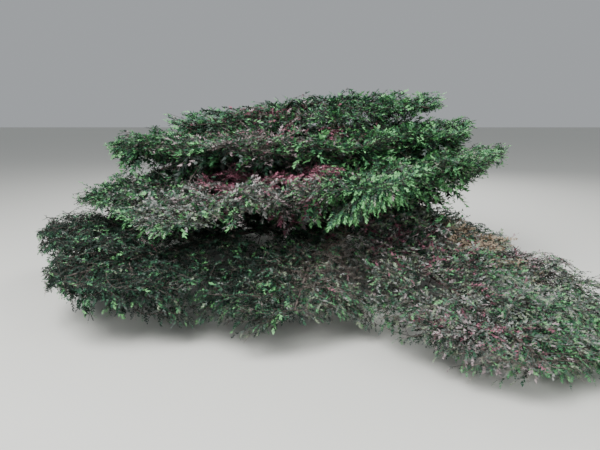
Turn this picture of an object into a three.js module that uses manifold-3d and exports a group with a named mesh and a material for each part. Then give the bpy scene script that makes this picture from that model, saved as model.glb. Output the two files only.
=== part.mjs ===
// A low, spreading spruce: a mound of layered boughs about 5 m wide, 4.8 m deep and 1.85 m high,
// with a short stem hidden inside. Four storeys of boughs leave the stem one above the other. Each
// bough carries one fan of foliage. The crown tops the mound, the upper storey slopes like a roof,
// the middle storey is a wide shelf with a hanging lip, and the ground storey is a skirt on the left
// that turns into a low carpet on the right. Dark gaps part the storeys.
// Units are millimetres. +X is right, +Y is back, +Z is up, and the origin is the stem's flat foot.

import * as THREE from "three";
import { mergeVertices } from "three/addons/utils/BufferGeometryUtils.js";
import Module from "manifold-3d";

const wasm = await Module();
wasm.setup();

const FULL_TURN = Math.PI * 2;
const DEGREE = Math.PI / 180;
const UP = new THREE.Vector3(0, 0, 1);
const MERGE_TOLERANCE = 1e-3;

// The stem: radii at the ground, above the root flare and at the tip, and how far its tip leans.
const TRUNK_HEIGHT = 1600;
const TRUNK_FLARE_RADIUS = 205;
const TRUNK_RADIUS = 128;
const TRUNK_TIP_RADIUS = 26;
const TRUNK_LEAN_X = 50;
const TRUNK_LEAN_Y = 90;
const TRUNK_SIDES = 12;
const TRUNK_RINGS = 8;
const TRUNK_RING_POWER = 1.6; // above 1 the rings stand closer in the root flare
const FLARE_HEIGHT = 150; // the flare fades out with this height
const FLARE_LOBES = 5; // root buttresses
const FLARE_LOBE_SHARE = 0.16;

// Clearances between solids.
const JOINT_GAP = 0.3; // between a limb and what it meets
const FAN_GAP = 9; // on each side of the line between two fans
const GROUND_GAP = 6; // nothing but the stem is lower

// The storeys. The lists go round from the right by the back in even steps of azimuth. Those of eight
// are right, back right, back, back left, left, front left, front, front right, and those of sixteen
// have one more value between each two.
// reach: from the stem to the furthest tips. rim: height of the fan's middle at its outer edge.
// crest: that height over the stem. slope: power of the fall from crest to rim, 1 is straight.
// inner: share of the reach where a bough ends and its fan starts. leave: height on the stem of the
// lowest bough. leaveStep: height from one level of boughs to the next.
// thick, deep: thickness of the dense part above and below the fan's middle.
// over, under: the room for sprays there.
// hang: how steeply the sprays at the outer edge hang, 1 is 45 degrees.
const STOREYS = [
  {
    name: "crown",
    fans: 5,
    turned: 54,
    boughRadius: 15,
    leave: 1480,
    leaveStep: 22,
    inner: 0.14,
    crest: 1765,
    slope: 0.85,
    reach: [1220, 900, 780, 1050, 1850, 900, 620, 860],
    rim: [1730, 1660, 1600, 1530, 1480, 1500, 1540, 1620],
    thick: 50,
    deep: [190, 150, 110, 80, 80, 100, 110, 170],
    over: 110,
    under: 220,
    hang: 0.05,
    foliage: 0x2f4a26,
  },
  {
    name: "upper",
    fans: 7,
    turned: 21,
    boughRadius: 28,
    leave: 1150,
    leaveStep: 40,
    inner: 0.19,
    crest: 1390,
    slope: 1.4,
    reach: [1560, 1450, 1400, 1850, 2460, 1620, 1080, 1180],
    rim: [1455, 1340, 1280, 1290, 1260, 1320, 1320, 1410],
    thick: 66,
    deep: [150, 150, 150, 180, 220, 90, 50, 100],
    over: 150,
    under: 260,
    hang: 0.3,
    foliage: 0x2c4424,
  },
  {
    name: "middle",
    fans: 8,
    turned: 6,
    boughRadius: 34,
    leave: 600,
    leaveStep: 31,
    inner: 0.21,
    crest: 1048,
    slope: 2.4,
    reach: [2000, 1820, 1780, 2100, 2800, 2350, 1720, 1600],
    rim: [
      1180, 1070, 960, 890, 820, 800, 780, 755,
      730, 730, 730, 930, 1040, 1130, 1215, 1200,
    ],
    thick: 78,
    deep: [230, 200, 180, 130, 100, 90, 140, 190],
    over: 150,
    under: 300,
    hang: 0.5,
    foliage: 0x33482a,
  },
  {
    name: "ground",
    fans: 10,
    turned: 8,
    boughRadius: 38,
    leave: 130,
    leaveStep: 28,
    inner: 0.28,
    crest: 540,
    slope: 1.9,
    reach: [
      2080, 2120, 2150, 2180, 2200, 2330, 2450, 2750,
      3060, 3000, 2900, 2550, 2200, 2900, 3250, 2020,
    ],
    rim: [160, 160, 200, 390, 510, 430, 270, 160],
    thick: 84,
    deep: [170, 170, 200, 330, 420, 360, 230, 170],
    over: 150,
    under: 520,
    hang: 0.5,
    foliage: 0x2e4128,
  },
];

// Each bough leaves the stem this many levels above the last, and then starts again from the lowest.
const LEAVE_SKIP = 3;
const BOUGH_SIDES = 6;
const BOUGH_RINGS = 4;
const BOUGH_TAPER_POWER = 0.8; // below 1 a bough thins fastest near the stem
const BEND_SHARE = 0.45; // where a bough bends on its way to its fan
const BEND_CLIMB = 0.2; // share of the bough's climb that the bend adds
const BEND_ARCH = 60; // and for a bough of the whole reach, how far it arches
const SPINE_PLACES = [0, 0.35, 0.7, 1]; // along the fan
const HALVINGS = 24;

// How far one fan differs from the next.
const AZIMUTH_JITTER = 0.11; // of the angle between two boughs
const REACH_JITTER = 0.05;
const HEIGHT_JITTER = 26;
const LOBE_SHARE = 0.09; // a fan reaches this much less at its sides
const SIDE_DROOP = 46; // and hangs this much lower there
const ROOM_BEHIND = 0.8; // share of the radius where a fan starts that its sprays keep outside of

// What each random number of a fan is for.
const SALT = { stretch: 1, lift: 2, right: 3, left: 7, nextPair: 10, edge: 30, top: 40 };

// The dense middle of a fan is a cushion, as shares of the fan's length and width.
const CORE_START = 0.02;
const CORE_END = 0.89;
const CORE_WIDTH = 0.87;
const CORE_CORNERS = 0.16; // how far its corners are pulled in
const CORE_EDGE_ABOVE = 0.3; // shares of its thickness that are left at its edge
const CORE_EDGE_BELOW = 0.6;
const CORE_EDGE_POWER = 4;
const CORE_BUMPS = 0.3;
const CORE_BUMP_WAVES = [4, 3];
const CORE_CELLS_ALONG = 4;
const CORE_CELLS_ACROSS = 3;

// Side twigs leave the fan's stem in pairs and run out to its edge.
const TWIG_STARTS = [0.2, 0.46];
const TWIG_FORWARD = 0.26; // how far along the fan a twig goes while it crosses to the edge
const TWIG_WIDTH = 0.86;
const TWIG_WIDTH_JITTER = 0.06;
const TWIG_SIDES = 3;
const TWIG_RADIUS = 11;
const TWIG_TIP_RADIUS = 4;
const STEM_TIP_RADIUS = 6;
const STEM_END = 0.86; // share of the spine where the stem ends
const STEM_SIDES = 4;
const STEM_RINGS = 3;

// A spray of needles is a barbed blade. Its barbs are in shares of its length and half width.
const SPRAY_LENGTH = 290;
const SPRAY_HALF_WIDTH = 84;
const SPRAY_HALF_THICKNESS = 9;
const SPRAY_SUNK = 0.14; // share of its length that is sunk in the twig
const SPRAY_RIDGE = 0.36;
const SPRAY_BARB = [0.4, 1];
const SPRAY_NOTCH = [0.54, 0.46];
const SPRAY_TRIES = [1, 0.9, 0.8, 0.7, 0.6]; // shorter lengths tried where a whole spray has no room

// Where sprays stand out of the dense middle, as places along and across the fan.
const EDGE_SPRAYS = [-0.8, -0.5, -0.17, 0.17, 0.5, 0.8];
const EDGE_START = 0.84;
const EDGE_SPLAY = 1.1; // how much further across the fan an edge spray points
const TOP_SPRAYS = [
  [0.16, -0.3],
  [0.26, 0.38],
  [0.42, -0.12],
  [0.54, -0.62],
  [0.6, 0.4],
  [0.74, -0.2],
];
const TOP_ROOT = 0.55; // share of the dense middle's thickness where top sprays are rooted
const TOP_FORWARD = 0.3;
const TOP_SPLAY = 1.15;
const TOP_SWAY = 0.1;
const TOP_RISE = 0.55;
const EDGE_RISE_JITTER = 0.12;
const TWIG_RISE_JITTER = 0.16;

const BARK = new THREE.MeshStandardMaterial({ color: 0x5a463a, roughness: 0.95 });

// A number from 0 to 1 that depends only on its two seeds.
function chance(seed, salt) {
  const wave = Math.sin(seed * 12.9898 + salt * 78.233) * 43758.5453;
  return wave - Math.floor(wave);
}

// A number from -1 to 1 that depends only on its two seeds.
function sway(seed, salt) {
  return chance(seed, salt) * 2 - 1;
}

// The value at an azimuth between eight compass values, eased by a cosine.
function around(values, azimuth) {
  const turn = (azimuth / FULL_TURN) * values.length;
  const low = Math.floor(turn);
  const ease = (1 - Math.cos(Math.PI * (turn - low))) / 2;
  const pick = (i) => values[((i % values.length) + values.length) % values.length];
  return pick(low) * (1 - ease) + pick(low + 1) * ease;
}

// A closed geometry as a manifold-3d solid.
function toSolid(geometry) {
  const bare = geometry.clone();
  bare.deleteAttribute("normal");
  bare.deleteAttribute("uv");
  const merged = mergeVertices(bare, MERGE_TOLERANCE);
  const mesh = new wasm.Mesh({
    numProp: 3,
    vertProperties: new Float32Array(merged.attributes.position.array),
    triVerts: new Uint32Array(merged.index.array),
  });
  return new wasm.Manifold(mesh);
}

// A manifold-3d solid as a named mesh.
function toMesh(solid, name, material) {
  const { numProp, numVert, vertProperties, triVerts } = solid.getMesh();
  const positions = new Float32Array(numVert * 3);
  for (let i = 0; i < numVert; i++) {
    positions.set(vertProperties.subarray(i * numProp, i * numProp + 3), i * 3);
  }
  const geometry = new THREE.BufferGeometry();
  geometry.setAttribute("position", new THREE.BufferAttribute(positions, 3));
  geometry.setIndex(new THREE.BufferAttribute(triVerts, 1));
  geometry.computeVertexNormals();
  const mesh = new THREE.Mesh(geometry, material);
  mesh.name = name;
  return mesh;
}

// A tapered limb: a cylinder whose rings follow a curve from share `from` to share `to`.
// radiusAt takes the share of the whole curve.
function limb(curve, from, to, radiusAt, sides, rings) {
  const geometry = new THREE.CylinderGeometry(1, 1, 1, sides, rings);
  const position = geometry.getAttribute("position");
  for (let i = 0; i < position.count; i++) {
    const share = from + (to - from) * (position.getY(i) + 0.5);
    const centre = curve.getPointAt(share);
    const along = curve.getTangentAt(share);
    const side = new THREE.Vector3(along.y, -along.x, 0).normalize();
    const up = new THREE.Vector3().crossVectors(side, along);
    const radius = radiusAt(share);
    centre.addScaledVector(side, position.getX(i) * radius);
    centre.addScaledVector(up, position.getZ(i) * radius);
    position.setXYZ(i, centre.x, centre.y, centre.z);
  }
  return toSolid(geometry);
}

// The stem's centre line: it leans more towards the tip.
function trunkAxis(height) {
  const share = height / TRUNK_HEIGHT;
  return new THREE.Vector3(TRUNK_LEAN_X * share ** 2, TRUNK_LEAN_Y * share ** 2, height);
}

// The stem's radius at a height: a straight taper, and the root flare near the ground.
function trunkRadius(height, angle) {
  const taper = THREE.MathUtils.lerp(TRUNK_RADIUS, TRUNK_TIP_RADIUS, height / TRUNK_HEIGHT);
  const flare = (TRUNK_FLARE_RADIUS - TRUNK_RADIUS) * Math.exp(-height / FLARE_HEIGHT);
  const lobes = 1 + FLARE_LOBE_SHARE * Math.cos(FLARE_LOBES * angle) * Math.exp(-height / FLARE_HEIGHT);
  return (taper + flare) * lobes;
}

// The stem as a solid, grown sideways and at its tip by `grown`.
function trunk(grown) {
  const geometry = new THREE.CylinderGeometry(1, 1, 1, TRUNK_SIDES, TRUNK_RINGS);
  const position = geometry.getAttribute("position");
  for (let i = 0; i < position.count; i++) {
    const share = (position.getY(i) + 0.5) ** TRUNK_RING_POWER;
    const height = share * TRUNK_HEIGHT;
    const x = position.getX(i);
    const y = -position.getZ(i);
    const radius = Math.hypot(x, y) * (trunkRadius(height, Math.atan2(y, x)) + grown);
    const angle = Math.atan2(y, x);
    const centre = trunkAxis(height);
    const lift = share === 1 ? grown : 0;
    position.setXYZ(
      i,
      centre.x + radius * Math.cos(angle),
      centre.y + radius * Math.sin(angle),
      height + lift,
    );
  }
  return toSolid(geometry);
}

// One fan of foliage and the spine that carries it. Places on the fan are given by `along`, 0 where
// the fan starts and 1 at its outer edge, `across`, -1 to 1 from side to side, and a height above
// the fan's middle.
class Fan {
  constructor(storey, index) {
    const step = FULL_TURN / storey.fans;
    const azimuthOf = (i) => {
      const jitter = sway(((i % storey.fans) + storey.fans) % storey.fans, storey.crest);
      return (i + jitter * AZIMUTH_JITTER) * step + storey.turned * DEGREE;
    };
    this.storey = storey;
    this.index = index;
    this.seed = storey.crest + index;
    this.azimuth = azimuthOf(index);
    this.sides = [
      (this.azimuth - azimuthOf(index - 1)) / 2,
      (azimuthOf(index + 1) - this.azimuth) / 2,
    ];
    this.stretch = 1 + REACH_JITTER * sway(this.seed, SALT.stretch);
    this.lift = HEIGHT_JITTER * sway(this.seed, SALT.lift);
    this.spine = this.makeSpine();
    this.cut = this.shareAt(this.storey.inner * this.edge(0));
  }

  // The azimuth at a place across the fan.
  azimuthAt(across) {
    return this.azimuth + across * this.sides[across < 0 ? 0 : 1];
  }

  // How far the fan reaches from the stem.
  edge(across) {
    const reach = around(this.storey.reach, this.azimuthAt(across));
    return reach * this.stretch * (1 - LOBE_SHARE * across ** 2);
  }

  // The height of the fan's middle at a share of its reach.
  middle(share, across) {
    const rim = around(this.storey.rim, this.azimuthAt(across)) + this.lift;
    const fall = share ** this.storey.slope;
    const droop = SIDE_DROOP * across ** 2 * share;
    return this.storey.crest + (rim - this.storey.crest) * fall - droop;
  }

  place(along, across, above) {
    const share = this.storey.inner + (1 - this.storey.inner) * along;
    const radius = share * this.edge(across);
    const azimuth = this.azimuthAt(across);
    const height = this.middle(share, across) + above;
    return new THREE.Vector3(radius * Math.cos(azimuth), radius * Math.sin(azimuth), height);
  }

  // The line of bough and stem: out of the trunk, up to the fan and along its middle.
  makeSpine() {
    const { leave, leaveStep, inner } = this.storey;
    const start = trunkAxis(leave + leaveStep * ((this.index * LEAVE_SKIP) % this.storey.fans));
    const root = this.place(0, 0, 0);
    const bend = start.clone().lerp(root, BEND_SHARE);
    bend.z += (root.z - start.z) * BEND_CLIMB + inner * BEND_ARCH;
    const onFan = SPINE_PLACES.map((along) => this.place(along, 0, 0));
    return new THREE.CatmullRomCurve3([start, bend, ...onFan]);
  }

  // The share of the spine where it is `radius` away from the stem's foot, seen from above.
  shareAt(radius) {
    let low = 0;
    let high = 1;
    for (let i = 0; i < HALVINGS; i++) {
      const half = (low + high) / 2;
      const point = this.spine.getPointAt(half);
      if (Math.hypot(point.x, point.y) < radius) low = half;
      else high = half;
    }
    return low;
  }

  spineRadius(share) {
    return THREE.MathUtils.lerp(this.storey.boughRadius, STEM_TIP_RADIUS, share ** BOUGH_TAPER_POWER);
  }

  // Whether a point is in this fan's own space.
  holds(point) {
    const { inner, over, under } = this.storey;
    const radius = Math.hypot(point.x, point.y);
    let turn = Math.atan2(point.y, point.x) - this.azimuth;
    turn -= FULL_TURN * Math.round(turn / FULL_TURN);
    const side = this.sides[turn < 0 ? 0 : 1];
    const across = turn / side;
    if (Math.abs(across) > 1 || radius * Math.sin(side - Math.abs(turn)) < FAN_GAP) return false;
    const share = radius / this.edge(across);
    if (share > 1 || share < inner * ROOM_BEHIND) return false;
    const above = point.z - this.middle(share, across);
    return above < over && above > -under && point.z > GROUND_GAP;
  }
}

// The dense middle: a box laid out over the fan as a bumpy cushion, deeper below than above.
function core(fan) {
  const geometry = new THREE.BoxGeometry(2, 2, 2, CORE_CELLS_ALONG, CORE_CELLS_ACROSS, 1);
  const position = geometry.getAttribute("position");
  const [wavesAlong, wavesAcross] = CORE_BUMP_WAVES;
  for (let i = 0; i < position.count; i++) {
    const x = position.getX(i);
    const y = position.getY(i);
    const pulled = 1 - CORE_CORNERS * x * x * y * y;
    const along = THREE.MathUtils.lerp(CORE_START, CORE_END, (x * pulled + 1) / 2);
    const across = y * pulled * CORE_WIDTH;
    const isAbove = position.getZ(i) > 0;
    const left = isAbove ? CORE_EDGE_ABOVE : CORE_EDGE_BELOW;
    const fullness = 1 - (1 - left) * Math.max(Math.abs(x), Math.abs(y)) ** CORE_EDGE_POWER;
    const wave = Math.sin(wavesAlong * x + fan.seed) * Math.cos(wavesAcross * y + 2 * fan.seed);
    const bump = 1 + CORE_BUMPS * wave;
    const half = isAbove ? fan.storey.thick : -around(fan.storey.deep, fan.azimuthAt(across));
    const point = fan.place(along, across, half * fullness * bump);
    position.setXYZ(i, point.x, point.y, Math.max(point.z, GROUND_GAP));
  }
  return toSolid(geometry);
}

// A spray as a double pyramid over its barbed outline. Its root is at `at`, it points along `forward`
// and lies level from side to side.
function spray(at, forward, length) {
  const side = new THREE.Vector3().crossVectors(UP, forward).normalize();
  const normal = new THREE.Vector3().crossVectors(forward, side);
  const put = (share, width, height) =>
    at
      .clone()
      .addScaledVector(forward, share * length)
      .addScaledVector(side, (width * SPRAY_HALF_WIDTH * length) / SPRAY_LENGTH)
      .addScaledVector(normal, height);
  const mirrored = ([share, width]) => [share, -width];
  const right = [SPRAY_BARB, SPRAY_NOTCH].map(mirrored);
  const outline = [[-SPRAY_SUNK, 0], ...right, [1, 0], SPRAY_NOTCH, SPRAY_BARB];
  const ring = outline.map(([share, width]) => put(share, width, 0));
  const top = put(SPRAY_RIDGE, 0, SPRAY_HALF_THICKNESS);
  const bottom = put(SPRAY_RIDGE, 0, -SPRAY_HALF_THICKNESS);
  const faces = ring.flatMap((point, i) => {
    const next = ring[(i + 1) % ring.length];
    return [point, next, top, next, point, bottom];
  });
  const geometry = new THREE.BufferGeometry().setFromPoints(faces);
  return { solid: toSolid(geometry), points: [...ring, top, bottom] };
}

const clearing = trunk(JOINT_GAP); // the stem's own space
const inPlace = []; // every solid made so far, with its box

function boxesMeet(a, b) {
  return [0, 1, 2].every((i) => a.min[i] < b.max[i] && b.min[i] < a.max[i]);
}

function touchesOthers(solid) {
  const box = solid.boundingBox();
  return inPlace.some((other) => boxesMeet(box, other.box) && !solid.intersect(other.solid).isEmpty());
}

function settle(solid) {
  inPlace.push({ solid, box: solid.boundingBox() });
  return solid;
}

// Adds a spray to a fan, shorter where a whole one would leave the fan's space or touch another
// solid, and none where no length fits.
function addSpray(fan, pieces, at, forward) {
  for (const share of SPRAY_TRIES) {
    const made = spray(at, forward, SPRAY_LENGTH * share);
    if (made.points.slice(1).every((point) => fan.holds(point)) && !touchesOthers(made.solid)) {
      pieces.push(made.solid);
      return;
    }
  }
}

// The direction from one point to another, tipped up by `rise` of its length.
function heading(from, to, rise) {
  const way = to.clone().sub(from).normalize();
  way.z += rise;
  return way.normalize();
}

// A side twig with the spray at its end.
function addTwig(fan, pieces, start, sideways, salt) {
  const root = fan.place(start, 0, 0);
  const reach = TWIG_WIDTH + TWIG_WIDTH_JITTER * sway(fan.seed, salt);
  const tip = fan.place(start + TWIG_FORWARD, sideways * reach, 0);
  const line = new THREE.LineCurve3(root, tip);
  const radiusAt = (share) => THREE.MathUtils.lerp(TWIG_RADIUS, TWIG_TIP_RADIUS, share);
  const twig = limb(line, 0, 1, radiusAt, TWIG_SIDES, 1);
  if (touchesOthers(twig)) return;
  pieces.push(twig);
  const rise = TWIG_RISE_JITTER * sway(fan.seed, salt + 1);
  addSpray(fan, pieces, tip, heading(root, tip, rise));
}

// A fan of foliage: the dense middle, the stem through it, its side twigs and its sprays.
function foliage(fan) {
  const { storey, spine, seed } = fan;
  const hasBough = storey.name !== "crown";
  const from = hasBough ? fan.cut + JOINT_GAP / spine.getLength() : 0;
  const radiusAt = (share) => fan.spineRadius(share);
  const stem = limb(spine, from, STEM_END, radiusAt, STEM_SIDES, STEM_RINGS);
  const pieces = [hasBough ? stem : stem.subtract(clearing), core(fan)];
  TWIG_STARTS.forEach((start, i) => {
    addTwig(fan, pieces, start, 1, SALT.nextPair * i + SALT.right);
    addTwig(fan, pieces, start, -1, SALT.nextPair * i + SALT.left);
  });
  EDGE_SPRAYS.forEach((across, i) => {
    const at = fan.place(EDGE_START, across, 0);
    const outward = fan.place(1, across * EDGE_SPLAY, 0);
    const rise = EDGE_RISE_JITTER * sway(seed, i + SALT.edge) - storey.hang;
    addSpray(fan, pieces, at, heading(at, outward, rise));
  });
  TOP_SPRAYS.forEach(([along, across], i) => {
    const at = fan.place(along, across, storey.thick * TOP_ROOT);
    const splay = across * TOP_SPLAY + TOP_SWAY * sway(seed, i + SALT.top);
    const towards = fan.place(along + TOP_FORWARD, splay, 0);
    addSpray(fan, pieces, at, heading(at, towards, TOP_RISE));
  });
  const joined = wasm.Manifold.union(pieces);
  const bodies = joined.decompose().sort((a, b) => b.volume() - a.volume());
  return bodies[0];
}

const tree = new THREE.Group();
tree.add(toMesh(settle(trunk(0)), "trunk", BARK));
const fans = STOREYS.flatMap((storey) =>
  Array.from({ length: storey.fans }, (_, index) => new Fan(storey, index)),
);
for (const fan of fans.filter((one) => one.storey.name !== "crown")) {
  const radiusAt = (share) => fan.spineRadius(share);
  const whole = limb(fan.spine, 0, fan.cut, radiusAt, BOUGH_SIDES, BOUGH_RINGS);
  const bough = settle(whole.subtract(clearing));
  tree.add(toMesh(bough, `${fan.storey.name}_bough_${fan.index + 1}`, BARK));
}
for (const storey of STOREYS) {
  const leaves = new THREE.MeshStandardMaterial({ color: storey.foliage, roughness: 0.85 });
  for (const fan of fans.filter((one) => one.storey === storey)) {
    tree.add(toMesh(settle(foliage(fan)), `${storey.name}_foliage_${fan.index + 1}`, leaves));
  }
}

export default tree;
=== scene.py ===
"""The looks of a low, spreading spruce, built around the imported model.

Four storeys of boughs leave a short stem. Each bough carries one fan of foliage. Here every fan is
grown again from the same named sizes as its solid: side twigs leave the fan's stem in pairs, in
sheets one above the other, and shoots set with needles leave the side twigs. Everything is in
metres, +X right, +Y back, +Z up, with the origin under the stem at ground level.
"""

import logging
import math
from dataclasses import dataclass, field, replace
from enum import Enum

import bpy
import numpy as np
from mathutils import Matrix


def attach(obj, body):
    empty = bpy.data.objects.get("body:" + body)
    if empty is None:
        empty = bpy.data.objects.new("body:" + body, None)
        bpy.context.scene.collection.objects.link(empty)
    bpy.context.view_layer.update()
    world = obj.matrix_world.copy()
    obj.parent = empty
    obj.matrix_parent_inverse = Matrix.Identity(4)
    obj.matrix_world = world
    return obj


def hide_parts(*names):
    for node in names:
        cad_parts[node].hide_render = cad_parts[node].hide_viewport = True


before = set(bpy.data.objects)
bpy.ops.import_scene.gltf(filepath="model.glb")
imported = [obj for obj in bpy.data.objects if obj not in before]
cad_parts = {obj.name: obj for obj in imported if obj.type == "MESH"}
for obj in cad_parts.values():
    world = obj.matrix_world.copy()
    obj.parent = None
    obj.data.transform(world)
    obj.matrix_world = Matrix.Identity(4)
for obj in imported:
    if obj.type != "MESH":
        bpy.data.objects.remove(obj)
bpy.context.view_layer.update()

FULL_TURN = 2 * math.pi
RIGHT = np.array((1.0, 0.0, 0.0))
UP = np.array((0.0, 0.0, 1.0))
BACK = np.array((0.0, 1.0, 0.0))
PIECE_LIMIT = 190_000  # faces in one piece of needles or twigs

log = logging.getLogger("spruce")


# Sizes that the solids share, and those of each storey's sprays.


@dataclass(frozen=True)
class Storey:
    """One storey of fans. The tuples go round from the right by the back in even steps.

    turned is the first fan's direction in degrees. bough_radius is a bough's radius at the trunk,
    leave the height where the lowest bough leaves it, and leave_step how much higher the next does.
    reach is how far the tips are from the stem, rim the height of a fan's middle at its outer edge,
    crest that height over the stem and slope the power of the fall between them. inner is the share
    of the reach where a fan starts. thick and deep are its cushion above and below its middle, over
    and under the room for sprays, end the share of the reach where they end, and droop how steeply
    those at the edge hang. ledge_width and ledge_height are those of the ledges on its surface. spray
    is the length of its sprays as a share of what a sheet says, needles how many needles one has, and
    closer the share of a sheet's gaps that is left between them. fresh, olive, dull and brown weigh
    those tones of its sprays.
    """

    name: str
    seed: int
    fans: int
    turned: float
    bough_radius: float
    leave: float
    leave_step: float
    inner: float
    crest: float
    slope: float
    reach: tuple[float, ...]
    rim: tuple[float, ...]
    thick: float
    deep: tuple[float, ...]
    over: float
    under: float
    end: float
    droop: tuple[float, ...]
    ledge_width: float
    ledge_height: float
    spray: float
    needles: int
    closer: float
    fresh: float
    olive: float
    dull: float
    brown: float


CROWN = Storey(
    name="crown",
    seed=1765,
    fans=5,
    turned=54,
    bough_radius=0.015,
    leave=1.48,
    leave_step=0.022,
    inner=0.14,
    crest=1.765,
    slope=0.85,
    reach=(1.22, 0.9, 0.78, 1.05, 1.85, 0.9, 0.62, 0.86),
    rim=(1.73, 1.66, 1.6, 1.53, 1.48, 1.5, 1.54, 1.62),
    thick=0.05,
    deep=(0.19, 0.15, 0.11, 0.08, 0.08, 0.1, 0.11, 0.17),
    over=0.11,
    under=0.22,
    end=0.985,
    droop=(0.1, 0.2, 0.2, 0.3, 0.2, 0.1, 0.1, 0.1),
    ledge_width=0.42,
    ledge_height=0.1,
    spray=0.86,
    needles=9,
    closer=0.9,
    fresh=1.0,
    olive=0.1,
    dull=0.2,
    brown=0.05,
)
UPPER = Storey(
    name="upper",
    seed=1390,
    fans=7,
    turned=21,
    bough_radius=0.028,
    leave=1.15,
    leave_step=0.04,
    inner=0.19,
    crest=1.39,
    slope=1.4,
    reach=(1.56, 1.45, 1.4, 1.85, 2.46, 1.62, 1.08, 1.18),
    rim=(1.455, 1.34, 1.28, 1.29, 1.26, 1.32, 1.32, 1.41),
    thick=0.066,
    deep=(0.15, 0.15, 0.15, 0.18, 0.22, 0.09, 0.05, 0.1),
    over=0.15,
    under=0.26,
    end=0.985,
    droop=(0.35, 0.4, 0.5, 0.5, 0.4, 0.1, 0.0, 0.2),
    ledge_width=0.46,
    ledge_height=0.12,
    spray=0.86,
    needles=9,
    closer=0.9,
    fresh=0.85,
    olive=0.2,
    dull=0.35,
    brown=0.25,
)
MIDDLE = Storey(
    name="middle",
    seed=1048,
    fans=8,
    turned=6,
    bough_radius=0.034,
    leave=0.6,
    leave_step=0.031,
    inner=0.21,
    crest=1.048,
    slope=2.4,
    reach=(2.0, 1.82, 1.78, 2.1, 2.8, 2.35, 1.72, 1.6),
    rim=(1.18, 1.07, 0.96, 0.89, 0.82, 0.8, 0.78, 0.755, 0.73, 0.73, 0.73, 0.93, 1.04, 1.13, 1.215, 1.2),
    thick=0.078,
    deep=(0.23, 0.2, 0.18, 0.13, 0.1, 0.09, 0.14, 0.19),
    over=0.15,
    under=0.3,
    end=0.985,
    droop=(0.5, 0.6, 0.6, 0.6, 0.4, 0.55, 0.4, 0.5),
    ledge_width=0.55,
    ledge_height=0.12,
    spray=0.85,
    needles=9,
    closer=0.9,
    fresh=0.8,
    olive=0.4,
    dull=0.7,
    brown=0.35,
)
GROUND = Storey(
    name="ground",
    seed=540,
    fans=10,
    turned=8,
    bough_radius=0.038,
    leave=0.13,
    leave_step=0.028,
    inner=0.28,
    crest=0.54,
    slope=1.9,
    reach=(2.08, 2.12, 2.15, 2.18, 2.2, 2.33, 2.45, 2.75, 3.06, 3.0, 2.9, 2.55, 2.2, 2.9, 3.25, 2.02),
    rim=(0.16, 0.16, 0.2, 0.39, 0.51, 0.43, 0.27, 0.16),
    thick=0.084,
    deep=(0.17, 0.17, 0.2, 0.33, 0.42, 0.36, 0.23, 0.17),
    over=0.15,
    under=0.52,
    end=0.968,
    droop=(0.3, 0.3, 0.4, 0.6, 0.7, 0.7, 0.5, 0.3),
    ledge_width=0.5,
    ledge_height=0.1,
    spray=0.75,
    needles=7,
    closer=0.8,
    fresh=0.4,
    olive=0.4,
    dull=0.9,
    brown=0.2,
)
STOREYS = (CROWN, UPPER, MIDDLE, GROUND)

LEAVE_SKIP = 3  # neighbouring boughs leave the trunk this many levels apart
AZIMUTH_JITTER = 0.11  # of the angle between two boughs
REACH_JITTER = 0.05
HEIGHT_JITTER = 0.026
LOBE_SHARE = 0.09  # a fan reaches this much less at its sides
SIDE_DROOP = 0.046  # and hangs this much lower there
GROUND_GAP = 0.006  # twigs keep this far from the ground, and needles half of it
STRETCH_SALT = 1
LIFT_SALT = 2
SWAY_SEED_FACTOR = 12.9898
SWAY_SALT_FACTOR = 78.233
SWAY_SCALE = 43758.5453

TRUNK_HEIGHT = 1.6
TRUNK_FLARE_RADIUS = 0.205
TRUNK_RADIUS = 0.128
TRUNK_TIP_RADIUS = 0.026
TRUNK_LEAN = (0.05, 0.09)
FLARE_HEIGHT = 0.15  # the flare fades to about a third over this height
FLARE_LOBES = 5  # root buttresses
FLARE_LOBE_SHARE = 0.16

STEM_TIP_RADIUS = 0.006
BOUGH_TAPER_POWER = 0.8  # below 1 a bough thins fastest near the stem
BEND_SHARE = 0.45  # where a bough bends on its way to its fan
BEND_CLIMB = 0.2  # share of the bough's climb that the bend adds
BEND_ARCH = 0.06  # and for a bough of the whole reach, how far it arches
SPINE_PLACES = (0.0, 0.35, 0.7, 1.0)  # along the fan
CURVE_STEPS = 60  # between two points of a curve

CORE_START = 0.02
CORE_END = 0.89
CORE_WIDTH = 0.87
CORE_EDGE_ABOVE = 0.3  # shares of its thickness that are left at its edge
CORE_EDGE_BELOW = 0.6
CORE_EDGE_POWER = 4
TWIG_FORWARD = 0.26  # how far along the fan a twig goes while it crosses to the edge
SIDE_REACH = 1.08  # how far across sprays may get, as a share of the fan's half width
OVER_REACH = 1.3  # and above, as a share of the storey's own room
INNER_ROOM = 0.8  # share of the radius where a fan starts that its sprays keep outside of
SHORTEST = 1e-9  # a vector is never divided by less


# Numbers that depend only on seeds, places or compass directions.


def sway(seed: float, salt: float) -> float:
    """A number from -1 to 1 that depends only on its two seeds.

    It is twice the fraction of a large multiple of a sine of both seeds, less 1, as in the source
    of the solids.

    Args:
        seed: the first seed.
        salt: the second seed.

    Returns:
        The number.
    """
    wave = math.sin(seed * SWAY_SEED_FACTOR + salt * SWAY_SALT_FACTOR) * SWAY_SCALE
    return (wave - math.floor(wave)) * 2 - 1


def around(values: tuple[float, ...], azimuth: np.ndarray) -> np.ndarray:
    """The value at an azimuth between compass values, eased by half a cosine wave.

    Args:
        values: one value for each of evenly spaced azimuths, from +X by +Y.
        azimuth: angles in radians.

    Returns:
        The eased values.
    """
    table = np.array(values)
    turn = np.asarray(azimuth) / FULL_TURN * len(table)
    low = np.floor(turn).astype(int)
    ease = (1 - np.cos(np.pi * (turn - low))) / 2
    return table[low % len(table)] * (1 - ease) + table[(low + 1) % len(table)] * ease


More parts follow.
